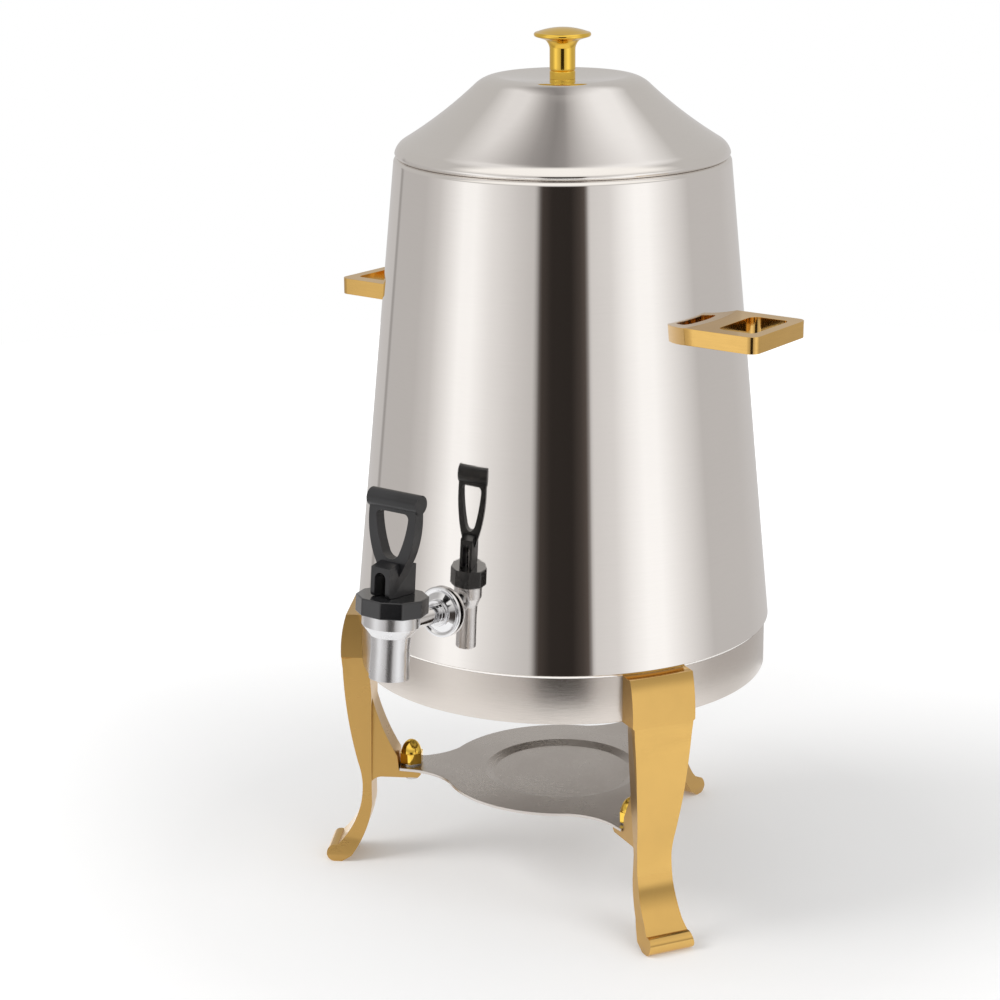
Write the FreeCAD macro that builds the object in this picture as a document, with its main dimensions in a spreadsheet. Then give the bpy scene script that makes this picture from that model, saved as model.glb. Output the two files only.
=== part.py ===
"""Coffee urn on three curled legs: tapered vessel, lift-off lid, lever tap and burner tray.

Millimetres, +Z up. The origin is on the floor, on the vessel's own axis. The tap faces -Y and
the carrying handles lie along X. Every driving size is a cell of the sheet Dim.
"""
import FreeCAD, Part
import math
import os
import Sketcher

DOC = FreeCAD.newDocument("coffee_urn")
V = FreeCAD.Vector

SIZES = {
    # base ring and vessel
    "ring_bottom": 146.0,
    "ring_height": 29.6,
    "ring_rad": 130.0,
    "ring_wall": 1.5,
    "ring_hem": 7.0,
    "neck_height": 7.5,
    "cone_base_rad": 132.2,
    "cone_top_rad": 104.2,
    "cone_height": 295.0,
    "foot_roll": 2.2,
    "shoulder_roll": 3.0,
    "shell_wall": 1.2,
    "seat_clearance": 0.15,
    "contact_gap": 0.03,
    "lip_width": 2.8,
    "pan_wall": 1.2,
    "pan_side": 9.0,
    # lid
    "lid_wall": 1.0,
    "lid_rim_rad": 103.4,
    "lid_edge_rad": 101.5,
    "lid_rim_rise": 2.4,
    "lid_haunch_rad": 98.5,
    "lid_haunch_rise": 9.2,
    "lid_neck_rad": 54.0,
    "lid_neck_rise": 43.2,
    "lid_crown_rad": 40.0,
    "lid_crown_rise": 48.9,
    "lid_seat_rad": 14.0,
    "lid_seat_rise": 46.7,
    "lid_haunch_arc": 10.6,
    "lid_slope_arc": 280.0,
    "lid_crown_arc": 20.5,
    "skirt_gap": 0.6,
    "skirt_depth": 14.0,
    "skirt_wall": 1.0,
    # knob
    "knob_stem_rad": 7.9,
    "ferrule_height": 5.1,
    "groove_depth": 0.5,
    "groove_width": 0.6,
    "knob_stem_height": 13.0,
    "knob_flare_rad": 10.9,
    "knob_flare_height": 5.6,
    "knob_disc_rad": 17.5,
    "knob_lip_height": 3.1,
    "knob_rim": 1.4,
    "knob_crown_height": 2.9,
    "knob_screw_rad": 2.5,
    "knob_screw_depth": 12.0,
    "screw_head_rad": 4.6,
    "screw_head_height": 2.8,
    "knob_washer_rad": 8.0,
    "washer_wall": 1.0,
    # handles
    "handle_top": 380.5,
    "handle_height": 10.3,
    "handle_reach": 157.2,
    "handle_width": 62.0,
    "handle_outer_bar": 7.0,
    "handle_side_bar": 9.5,
    "handle_inner_rad": 125.0,
    "handle_corner": 6.0,
    "handle_window_corner": 4.0,
    "handle_left_turn": 178.0,
    "handle_screw_rad": 2.5,
    "handle_screw_turn": 9.0,
    "handle_screw_depth": 8.0,
    "handle_washer_rad": 5.6,
    # legs
    "leg_turn": 60.0,
    "leg_top": 175.5,
    "leg_width": 42.4,
    "leg_knee_width": 25.2,
    "leg_toe_width": 31.0,
    "leg_plate_rad": 138.2,
    "leg_bulge_rad": 141.6,
    "leg_bulge_level": 138.0,
    "leg_ankle_rad": 131.8,
    "leg_ankle_level": 52.0,
    "leg_toe_rad": 156.0,
    "toe_rad": 5.5,
    "leg_back_rad": 125.4,
    "leg_least_wall": 6.0,
    "leg_back_narrowing": 5.5,
    "leg_screw_rad": 2.5,
    "leg_screw_turn": 5.0,
    "leg_screw_level": 15.0,
    "leg_screw_depth": 5.0,
    # bracket of the leg and burner tray
    "tray_level": 66.0,
    "tray_wall": 2.0,
    "tray_rad": 77.5,
    "tray_arm_reach": 106.8,
    "tray_arm_width": 22.0,
    "tray_neck_arc": 40.0,
    "seat_rad": 44.5,
    "seat_rim_rad": 50.5,
    "seat_depth": 2.5,
    "bracket_wall": 5.0,
    "bracket_width": 19.0,
    "bracket_reach": 93.0,
    "bolt_circle": 100.0,
    "bolt_rad": 3.0,
    "bolt_head_rad": 5.0,
    "bolt_head_height": 3.5,
    "bolt_rise": 8.0,
    "cap_flats": 14.0,
    "cap_hex_height": 7.0,
    "cap_dome_rad": 6.9,
    "cap_height": 15.5,
    "cap_washer_rad": 6.9,
    # tap, in a frame that stands square on the sloping wall
    "tap_level": 210.0,
    "tap_offset": 49.5,
    "flange_rad": 15.8,
    "flange_rim": 2.2,
    "flange_depth": 4.2,
    "flange_gap": 0.8,
    "shank_rad": 5.9,
    "shank_bore": 3.8,
    "shank_inside": 15.0,
    "shank_collar_rad": 8.0,
    "shank_collar_width": 3.0,
    "shank_socket_rad": 7.2,
    "shank_socket_reach": 19.0,
    "seal_rad": 12.0,
    "seal_wall": 1.6,
    "nut_flats": 22.0,
    "nut_height": 6.0,
    "cup_rad": 16.7,
    "cup_top": 14.0,
    "cup_base": 0.5,
    "barrel_top": -5.5,
    "barrel_rad": 12.1,
    "waist_rad": 11.6,
    "waist_level": -13.0,
    "outlet_level": -31.5,
    "outlet_bore": 10.0,
    "valve_level": -6.0,
    "valve_ledge": 3.0,
    "valve_bore": 6.0,
    "bonnet_rad": 21.7,
    "bonnet_bottom": 8.4,
    "bonnet_top": 19.0,
    "thread_gap": 0.08,
    "stem_rad": 3.0,
    "stem_gap": 0.08,
    "pin_level": 28.0,
    "pin_rad": 1.6,
    "pin_length": 11.0,
    "stem_top": 31.5,
    "cup_seal_rad": 8.2,
    "cup_seal_height": 7.0,
    "spring_rad": 7.6,
    "spring_wire": 1.4,
    "heel_gap": 0.2,
    "block_width": 13.6,
    "block_depth": 25.4,
    "block_height": 18.0,
    "block_crown": 2.4,
    "heel_round": 3.0,
    "slot_width": 8.0,
    "slot_top": 34.2,
    "lever_wall": 7.5,
    "lever_web_width": 25.0,
    "lever_web_level": 44.0,
    "lever_top_width": 32.4,
    "lever_bar_level": 75.6,
    "lever_bar_rad": 5.7,
    "lever_bar_length": 36.0,
    "window_bottom": 41.0,
    "window_top_width": 23.6,
    "window_foot_arc": 6.6,
}

SHEET = DOC.addObject("Spreadsheet::Sheet", "Dim")
for row, (alias, number) in enumerate(SIZES.items(), start=1):
    SHEET.set(f"A{row}", alias)
    SHEET.set(f"B{row}", str(number))
    SHEET.setAlias(f"B{row}", alias)
DOC.recompute()

# Levels and radii that several pieces share, written as formulas of the sheet.
CONE_BOTTOM = "(Dim.ring_bottom + Dim.ring_height)"
CONE_TOP = "(Dim.ring_bottom + Dim.ring_height + Dim.cone_height)"
WALL_SLOPE = "((Dim.cone_base_rad - Dim.cone_top_rad) / (Dim.cone_height - Dim.foot_roll - Dim.shoulder_roll))"
LID_SEAT = f"({CONE_TOP} + Dim.lid_seat_rise)"
LIP_RAD = "(Dim.cone_top_rad - Dim.shoulder_roll - Dim.lip_width)"

NODES = []


def number(formula):
    """Value of a formula of the sheet's cells."""
    return float(SHEET.evalExpression(str(formula)))


def cone_rad(level):
    """Formula for the outer radius of the tapered wall at a level."""
    return f"(Dim.cone_base_rad - (({level}) - {CONE_BOTTOM} - Dim.foot_roll) * {WALL_SLOPE})"


def new_body(name):
    body = DOC.addObject("PartDesign::Body", name)
    body.Label = name
    NODES.append(body)
    return body


def origin_plane(body, role):
    return next(plane for plane in body.Origin.OriginFeatures if plane.Role == role)


def arc_through(start, end, radius, side):
    """Short arc from start to end; side +1 bulges to the left of the way from start to end."""
    chord = end - start
    middle = (start + end) * 0.5
    rise = math.sqrt(max(radius ** 2 - (chord.Length / 2) ** 2, 0.0))
    across = V(-chord.y, chord.x, 0) / chord.Length
    centre = middle - across * rise * side
    first = math.atan2(start.y - centre.y, start.x - centre.x)
    last = math.atan2(end.y - centre.y, end.x - centre.x)
    if side > 0:
        first, last = last, first
    return Part.ArcOfCircle(Part.Circle(centre, V(0, 0, 1), radius), first, last)


def sketch(body, name, role, points, lift=None):
    """Closed outline on an origin plane of the body.

    A point is (x, y) or (x, y, radius, side), where radius and side describe the arc that
    leads from it to the next point. Coordinates and radii are formulas of the sheet.
    """
    sk = body.newObject("Sketcher::SketchObject", name)
    sk.AttachmentSupport = [(origin_plane(body, role), "")]
    sk.MapMode = "FlatFace"
    if lift is not None:
        sk.setExpression("AttachmentOffset.Base.z", lift)
    places = [V(number(p[0]), number(p[1]), 0) for p in points]
    ends = []
    for i, point in enumerate(points):
        start, end = places[i], places[(i + 1) % len(points)]
        if len(point) == 2:
            index = sk.addGeometry(Part.LineSegment(start, end))
            ends.append((index, 1, 2))
            continue
        index = sk.addGeometry(arc_through(start, end, number(point[2]), point[3]))
        forward = sk.getPoint(index, 1).distanceToPoint(start) < sk.getPoint(index, 2).distanceToPoint(start)
        ends.append((index, 1, 2) if forward else (index, 2, 1))
    for i, (index, first, last) in enumerate(ends):
        follower = ends[(i + 1) % len(ends)]
        sk.addConstraint(Sketcher.Constraint("Coincident", index, last, follower[0], follower[1]))
    for i, point in enumerate(points):
        index, first, last = ends[i]
        for kind, formula in (("DistanceX", point[0]), ("DistanceY", point[1])):
            at = sk.addConstraint(Sketcher.Constraint(kind, -1, 1, index, first, number(formula)))
            sk.setExpression(f"Constraints[{at}]", str(formula))
        if len(point) > 2:
            at = sk.addConstraint(Sketcher.Constraint("Radius", index, number(point[2])))
            sk.setExpression(f"Constraints[{at}]", str(point[2]))
    return sk


def turned(body, name, role, points, axis="V_Axis", cut=False):
    """Full turn of an outline about an axis of its own sketch."""
    sk = sketch(body, name + "_outline", role, points)
    kind = "PartDesign::Groove" if cut else "PartDesign::Revolution"
    turn = body.newObject(kind, name)
    turn.Profile = (sk, [""])
    turn.ReferenceAxis = (sk, [axis])
    turn.Angle = 360
    DOC.recompute()
    return turn


def pad(body, name, sk, length, midplane=False, reverse=False):
    feature = body.newObject("PartDesign::Pad", name)
    feature.Profile = (sk, [""])
    feature.setExpression("Length", str(length))
    feature.Midplane = midplane
    feature.Reversed = reverse
    DOC.recompute()
    return feature


def pocket_through(body, name, sk):
    """Cut right through the body on both sides of the sketch, and check that it bites."""
    before = body.Shape.Volume
    feature = body.newObject("PartDesign::Pocket", name)
    feature.Profile = (sk, [""])
    feature.Type = "ThroughAll"
    feature.Midplane = True
    DOC.recompute()
    if feature.Shape.Volume >= before:
        raise RuntimeError(f"{body.Label}: {name} removes nothing")
    return feature


def rod(body, name, radius, length, base, direction, cut=False):
    """Round rod added to a body, or a round hole drilled in it, from base along direction."""
    kind = "PartDesign::SubtractiveCylinder" if cut else "PartDesign::AdditiveCylinder"
    before = body.Shape.Volume if cut else 0.0
    feature = body.newObject(kind, name)
    feature.setExpression("Radius", str(radius))
    feature.setExpression("Height", str(length))
    feature.Placement = FreeCAD.Placement(base, FreeCAD.Rotation(V(0, 0, 1), direction))
    DOC.recompute()
    if cut and feature.Shape.Volume >= before:
        raise RuntimeError(f"{body.Label}: {name} removes nothing")
    return feature


def place(body, base, rotation):
    body.Placement = FreeCAD.Placement(base, rotation)


def about_z(degrees):
    return FreeCAD.Rotation(V(0, 0, 1), degrees)


WALL_TILT = math.degrees(math.atan(number(WALL_SLOPE)))


def on_wall(degrees, level):
    """Placement on the outside of the tapered wall: local -Y leaves it squarely, Z runs up it.

    degrees turns from the tap's side, -Y, towards +X.
    """
    radius = number(cone_rad(level))
    angle = math.radians(degrees)
    base = V(radius * math.sin(angle), -radius * math.cos(angle), number(level))
    turn = about_z(degrees).multiply(FreeCAD.Rotation(V(1, 0, 0), -WALL_TILT))
    return FreeCAD.Placement(base, turn)


HANDLE_MIDDLE = "(Dim.handle_top - Dim.handle_height / 2)"
HANDLE_TURNS = {"right": 90.0, "left": 90.0 + number("Dim.handle_left_turn")}
LEG_TURNS = {
    "front_right": number("Dim.leg_turn"),
    "front_left": -number("Dim.leg_turn"),
    "rear": 180.0,
}


def handle_screw_places():
    """One placement on the wall for each handle screw."""
    spread = number("Dim.handle_screw_turn")
    return [on_wall(turn + side * spread, HANDLE_MIDDLE) for turn in HANDLE_TURNS.values() for side in (-1, 1)]


def leg_screw_places():
    """One placement on the outside of the base ring for each leg screw."""
    spread = number("Dim.leg_screw_turn")
    level = number("Dim.ring_bottom + Dim.leg_screw_level")
    radius = number("Dim.ring_rad")
    places = []
    for turn in LEG_TURNS.values():
        for side in (-1, 1):
            angle = math.radians(turn + side * spread)
            base = V(radius * math.sin(angle), -radius * math.cos(angle), level)
            places.append(FreeCAD.Placement(base, about_z(turn + side * spread)))
    return places


def drill(body, name, placement, radius, inward, outward):
    """Hole along the local Y of a placement, from inward of it to outward of it."""
    direction = placement.Rotation.multVec(V(0, -1, 0))
    base = placement.Base - direction * number(inward)
    rod(body, name, radius, f"({inward}) + ({outward})", base, direction, cut=True)


def vessel():
    """Mirror-bright tapered shell, its satin base ring and the pan that closes it."""
    base, top = CONE_BOTTOM, CONE_TOP
    shell = new_body("vessel_shell")
    turned(shell, "shell", "XZ_Plane", [
        ("Dim.ring_rad - Dim.ring_wall", base),
        ("Dim.ring_rad", base),
        ("Dim.cone_base_rad - 0.4", f"{base} + Dim.foot_roll * 0.4"),
        ("Dim.cone_base_rad", f"{base} + Dim.foot_roll"),
        ("Dim.cone_top_rad", f"{top} - Dim.shoulder_roll", "Dim.shoulder_roll", -1),
        ("Dim.cone_top_rad - Dim.shoulder_roll", top),
        (LIP_RAD, top),
        (LIP_RAD, f"{top} - Dim.shell_wall"),
        ("Dim.cone_top_rad - Dim.shoulder_roll", f"{top} - Dim.shell_wall",
         "Dim.shoulder_roll - Dim.shell_wall", 1),
        ("Dim.cone_top_rad - Dim.shell_wall", f"{top} - Dim.shoulder_roll"),
        ("Dim.cone_base_rad - Dim.shell_wall", f"{base} + Dim.foot_roll"),
        ("Dim.ring_rad - Dim.ring_wall", f"{base} + Dim.shell_wall"),
    ])
    for i, placement in enumerate(handle_screw_places()):
        drill(shell, f"handle_hole_{i}", placement, "Dim.handle_screw_rad + 0.1", "6", "3")
    drill(shell, "tap_hole", on_wall(0, "Dim.tap_level"), "Dim.shank_rad + Dim.thread_gap", "8", "4")

    ring = new_body("base_ring")
    turned(ring, "ring", "XZ_Plane", [
        ("Dim.ring_rad - Dim.ring_hem", "Dim.ring_bottom"),
        ("Dim.ring_rad", "Dim.ring_bottom"),
        ("Dim.ring_rad", base),
        ("Dim.ring_rad - Dim.ring_wall", base),
        ("Dim.ring_rad - Dim.ring_wall", f"{base} + Dim.neck_height"),
        ("Dim.ring_rad - Dim.ring_wall * 2", f"{base} + Dim.neck_height"),
        ("Dim.ring_rad - Dim.ring_wall * 2", f"{base} - Dim.ring_wall"),
        ("Dim.ring_rad - Dim.ring_wall", f"{base} - Dim.ring_wall"),
        ("Dim.ring_rad - Dim.ring_wall", "Dim.ring_bottom + Dim.ring_wall"),
        ("Dim.ring_rad - Dim.ring_hem", "Dim.ring_bottom + Dim.ring_wall"),
    ])
    for i, placement in enumerate(leg_screw_places()):
        drill(ring, f"leg_hole_{i}", placement, "Dim.leg_screw_rad + 0.1", "6", "2")

    floor = f"({base} + Dim.neck_height)"
    pan = new_body("vessel_pan")
    inner_low = f"{cone_rad(floor)} - Dim.shell_wall"
    inner_high = f"{cone_rad(floor + ' + Dim.pan_side')} - Dim.shell_wall"
    turned(pan, "pan", "XZ_Plane", [
        ("0", floor),
        (inner_low, floor),
        (inner_high, f"{floor} + Dim.pan_side"),
        (f"{inner_high} - Dim.pan_wall", f"{floor} + Dim.pan_side"),
        (f"{inner_low} - Dim.pan_wall * 2.2", f"{floor} + Dim.pan_wall * 1.6"),
        (f"{inner_low} - Dim.pan_wall * 6", f"{floor} + Dim.pan_wall"),
        ("0", f"{floor} + Dim.pan_wall"),
    ])


def lid():
    """Pressed lid with its welded locating skirt."""
    seat = CONE_TOP
    shell = new_body("lid_shell")
    haunch = ("Dim.lid_haunch_rad", f"{seat} + Dim.lid_haunch_rise")
    neck = ("Dim.lid_neck_rad", f"{seat} + Dim.lid_neck_rise")
    turned(shell, "lid", "XZ_Plane", [
        (f"{LIP_RAD} - Dim.skirt_gap + Dim.contact_gap", seat),
        ("Dim.lid_edge_rad", seat),
        ("Dim.lid_rim_rad", f"{seat} + Dim.lid_rim_rise", "Dim.lid_haunch_arc", -1),
        haunch + ("Dim.lid_slope_arc", 1),
        neck + ("Dim.lid_crown_arc", -1),
        ("Dim.lid_crown_rad", f"{seat} + Dim.lid_crown_rise"),
        ("Dim.lid_seat_rad", LID_SEAT),
        ("Dim.knob_screw_rad + 0.1", LID_SEAT),
        ("Dim.knob_screw_rad + 0.1", f"{LID_SEAT} - Dim.lid_wall"),
        ("Dim.lid_seat_rad", f"{LID_SEAT} - Dim.lid_wall"),
        ("Dim.lid_crown_rad", f"{seat} + Dim.lid_crown_rise - Dim.lid_wall",
         "Dim.lid_crown_arc - Dim.lid_wall", 1),
        ("Dim.lid_neck_rad - Dim.lid_wall * 0.7", f"{neck[1]} - Dim.lid_wall * 0.72",
         "Dim.lid_slope_arc + Dim.lid_wall", -1),
        ("Dim.lid_haunch_rad - Dim.lid_wall * 0.54", f"{haunch[1]} - Dim.lid_wall * 0.84",
         "Dim.lid_haunch_arc - Dim.lid_wall", 1),
        ("Dim.lid_rim_rad - Dim.lid_wall", f"{seat} + Dim.lid_rim_rise"),
        ("Dim.lid_edge_rad - Dim.lid_wall", f"{seat} + Dim.lid_wall"),
        (f"{LIP_RAD} - Dim.skirt_gap + Dim.contact_gap", f"{seat} + Dim.lid_wall"),
    ])

    skirt = new_body("lid_skirt")
    skirt_rad = f"({LIP_RAD} - Dim.skirt_gap)"
    turned(skirt, "skirt", "XZ_Plane", [
        (f"{skirt_rad} - Dim.skirt_wall", f"{seat} - Dim.skirt_depth"),
        (skirt_rad, f"{seat} - Dim.skirt_depth"),
        (skirt_rad, f"{seat} + Dim.lid_wall"),
        (f"{skirt_rad} - Dim.skirt_wall", f"{seat} + Dim.lid_wall"),
    ])


def knob():
    """Turned knob on its ferrule, held by a screw and a washer under the lid."""
    ferrule = new_body("knob_ferrule")
    top = f"({LID_SEAT} + Dim.ferrule_height)"
    turned(ferrule, "ferrule", "XZ_Plane", [
        ("Dim.knob_screw_rad + 0.1", LID_SEAT),
        ("Dim.knob_stem_rad", LID_SEAT),
        ("Dim.knob_stem_rad", f"{top} - Dim.groove_width"),
        ("Dim.knob_stem_rad - Dim.groove_depth", top),
        ("Dim.knob_screw_rad + 0.1", top),
    ])

    grip = new_body("knob")
    flare = f"({top} + Dim.knob_stem_height)"
    disc = f"({flare} + Dim.knob_flare_height)"
    rim = "Dim.knob_rim"
    lip = f"({disc} + Dim.knob_lip_height)"
    crown = f"((Dim.knob_disc_rad - {rim})^2 + Dim.knob_crown_height^2) / (2 * Dim.knob_crown_height)"
    turned(grip, "grip", "XZ_Plane", [
        ("0", f"{top} + Dim.knob_screw_depth"),
        ("Dim.knob_screw_rad", f"{top} + Dim.knob_screw_depth"),
        ("Dim.knob_screw_rad", top),
        ("Dim.knob_stem_rad - Dim.groove_depth", top),
        ("Dim.knob_stem_rad", f"{top} + Dim.groove_width"),
        ("Dim.knob_stem_rad", flare, "Dim.knob_flare_height * 1.35", 1),
        ("Dim.knob_flare_rad", disc),
        (f"Dim.knob_disc_rad - {rim}", f"{lip} - {rim}", rim, -1),
        ("Dim.knob_disc_rad", lip, rim, -1),
        (f"Dim.knob_disc_rad - {rim}", f"{lip} + {rim}", crown, -1),
        ("0", f"{lip} + {rim} + Dim.knob_crown_height"),
    ])

    screw = new_body("knob_screw")
    under = f"({LID_SEAT} - Dim.lid_wall - Dim.washer_wall)"
    turned(screw, "screw", "XZ_Plane", [
        ("0", f"{under} - Dim.screw_head_height"),
        ("Dim.screw_head_rad - 0.8", f"{under} - Dim.screw_head_height"),
        ("Dim.screw_head_rad", f"{under} - Dim.screw_head_height + 1"),
        ("Dim.screw_head_rad", under),
        ("Dim.knob_screw_rad", under),
        ("Dim.knob_screw_rad", f"{top} + Dim.knob_screw_depth"),
        ("0", f"{top} + Dim.knob_screw_depth"),
    ])

    washer = new_body("knob_washer")
    turned(washer, "washer", "XZ_Plane", [
        ("Dim.knob_screw_rad + 0.1", under),
        ("Dim.knob_washer_rad", under),
        ("Dim.knob_washer_rad", f"{under} + Dim.washer_wall"),
        ("Dim.knob_screw_rad + 0.1", f"{under} + Dim.washer_wall"),
    ])


def handles():
    """Flat square-bar carrying handles whose backs hug the tapered wall."""
    half = "Dim.handle_width / 2"
    window = "(Dim.handle_width / 2 - Dim.handle_side_bar)"
    inner = "Dim.handle_inner_rad"
    outer = "(Dim.handle_reach - Dim.handle_outer_bar)"
    back = f"({cone_rad('Dim.handle_top')} - 22)"
    corner, small = "Dim.handle_corner", "Dim.handle_window_corner"
    for side, turn in HANDLE_TURNS.items():
        body = new_body("handle_" + side)
        plan = sketch(body, "plan", "XY_Plane", [
            (back, f"-({half})"),
            (f"Dim.handle_reach - {corner}", f"-({half})", corner, -1),
            ("Dim.handle_reach", f"-({half}) + {corner}"),
            ("Dim.handle_reach", f"{half} - {corner}", corner, -1),
            (f"Dim.handle_reach - {corner}", half),
            (back, half),
        ], lift="Dim.handle_top - Dim.handle_height")
        pad(body, "bar", plan, "Dim.handle_height")
        slot = sketch(body, "window_plan", "XY_Plane", [
            (f"{inner} + {corner}", f"-{window}"),
            (f"{outer} - {small}", f"-{window}", small, -1),
            (outer, f"-{window} + {small}"),
            (outer, f"{window} - {small}", small, -1),
            (f"{outer} - {small}", window),
            (f"{inner} + {corner}", window, corner, -1),
            (inner, f"{window} - {corner}"),
            (inner, f"-{window} + {corner}", corner, -1),
        ], lift="Dim.handle_top")
        pocket_through(body, "window", slot)
        bottom, top = "(Dim.handle_top - Dim.handle_height - 2)", "(Dim.handle_top + 2)"
        turned(body, "hug", "XZ_Plane", [
            ("0", bottom),
            (cone_rad(bottom), bottom),
            (cone_rad(top), top),
            ("0", top),
        ], cut=True)
        for i, way in enumerate((-1, 1)):
            placement = on_wall(90.0 + way * number("Dim.handle_screw_turn"), HANDLE_MIDDLE)
            drill(body, f"screw_hole_{i}", placement, "Dim.handle_screw_rad", "1", "Dim.handle_screw_depth")
        place(body, V(0, 0, 0), about_z(turn - 90.0))


def group(name, placements, make):
    """Several equal fasteners as one node: one solid at each placement."""
    pieces = []
    for i, placement in enumerate(placements):
        piece = make(f"{name}_{i}")
        piece.Placement = placement
        pieces.append(piece)
    node = DOC.addObject("Part::Compound", name)
    node.Label = name
    node.Links = pieces
    NODES.append(node)
    return node


def lathe(name, points, axis_turn):
    """Solid of revolution about local -Y from a sketch of (radius, reach along -Y)."""
    sk = DOC.addObject("Sketcher::SketchObject", name + "_outline")
    sk.Placement = FreeCAD.Placement(V(0, 0, 0), FreeCAD.Rotation(V(1, 0, 0), V(0, -1, 0), V(0, 0, -1)))
    places = [V(number(x), number(y), 0) for x, y in points]
    for i, start in enumerate(places):
        sk.addGeometry(Part.LineSegment(start, places[(i + 1) % len(places)]))
    for i in range(len(places)):
        sk.addConstraint(Sketcher.Constraint("Coincident", i, 2, (i + 1) % len(places), 1))
    for i, point in enumerate(points):
        for kind, formula in (("DistanceX", point[0]), ("DistanceY", point[1])):
            at = sk.addConstraint(Sketcher.Constraint(kind, -1, 1, i, 1, number(formula)))
            sk.setExpression(f"Constraints[{at}]", str(formula))
    solid = DOC.addObject("Part::Revolution", name)
    solid.Source = sk
    solid.Axis = V(0, -1, 0)
    solid.Base = V(0, 0, 0)
    solid.Angle = axis_turn
    solid.Solid = True
    return solid


def pan_head_screw(seat, radius, tip):
    """Outline of a screw whose head sits at -seat, inside the wall, and whose tip is outside."""
    return [
        ("0", f"-({seat}) - Dim.screw_head_height"),
        ("Dim.screw_head_rad - 0.8", f"-({seat}) - Dim.screw_head_height"),
        ("Dim.screw_head_rad", f"-({seat}) - Dim.screw_head_height + 1"),
        ("Dim.screw_head_rad", f"-({seat})"),
        (radius, f"-({seat})"),
        (radius, tip),
        ("0", tip),
    ]


def fasteners():
    """Screws that hold the handles and the legs, and the washers that seal the vessel."""
    places = handle_screw_places()
    seat = "Dim.shell_wall + Dim.seat_clearance + Dim.washer_wall"
    outline = pan_head_screw(seat, "Dim.handle_screw_rad", "Dim.handle_screw_depth")
    group("handle_screws", places, lambda name: lathe(name, outline, 360))
    washer = [
        ("Dim.handle_screw_rad + 0.1", f"-({seat})"),
        ("Dim.handle_washer_rad", f"-({seat})"),
        ("Dim.handle_washer_rad", f"-({seat}) + Dim.washer_wall"),
        ("Dim.handle_screw_rad + 0.1", f"-({seat}) + Dim.washer_wall"),
    ]
    group("handle_washers", places, lambda name: lathe(name, washer, 360))
    outline = pan_head_screw("Dim.ring_wall + Dim.seat_clearance", "Dim.leg_screw_rad", "Dim.leg_screw_depth")
    group("leg_screws", leg_screw_places(), lambda name: lathe(name, outline, 360))


# The front of a leg keeps a least wall before its back, wherever the back stands.
LEG_PUSH = "max(0; Dim.leg_back_rad + Dim.leg_least_wall - Dim.leg_ankle_rad)"


def leg_outline(name, reach, narrowing):
    """Front view of a leg at one reach, as (sideways, level), for the loft that trims its sides."""
    levels = [
        ("Dim.leg_width / 2", "Dim.leg_top + 1"),
        ("Dim.leg_width / 2", "Dim.ring_bottom"),
        (f"Dim.leg_width / 2 - 1.2 - {narrowing}", "Dim.ring_bottom - 1"),
        (f"Dim.leg_knee_width / 2 - {narrowing} * 0.35", "Dim.leg_ankle_level + 4"),
        ("Dim.leg_knee_width / 2 - 0.6", "Dim.leg_ankle_level - 14"),
        ("Dim.leg_knee_width / 2 + 0.5", "Dim.toe_rad * 3"),
        ("Dim.leg_toe_width / 2", "Dim.toe_rad * 0.8"),
        ("Dim.leg_toe_width / 2", "-1"),
    ]
    sk = DOC.addObject("Sketcher::SketchObject", name)
    sk.Placement = FreeCAD.Placement(
        V(number(reach), 0, 0), FreeCAD.Rotation(V(0, 1, 0), V(0, 0, 1), V(1, 0, 0)))
    points = levels + [(f"-({x})", y) for x, y in reversed(levels)]
    places = [V(number(x), number(y), 0) for x, y in points]
    for i, start in enumerate(places):
        sk.addGeometry(Part.LineSegment(start, places[(i + 1) % len(places)]))
    for i in range(len(places)):
        sk.addConstraint(Sketcher.Constraint("Coincident", i, 2, (i + 1) % len(places), 1))
    for i, point in enumerate(points):
        for kind, formula in (("DistanceX", point[0]), ("DistanceY", point[1])):
            at = sk.addConstraint(Sketcher.Constraint(kind, -1, 1, i, 1, number(formula)))
            sk.setExpression(f"Constraints[{at}]", str(formula))
    return sk


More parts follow.
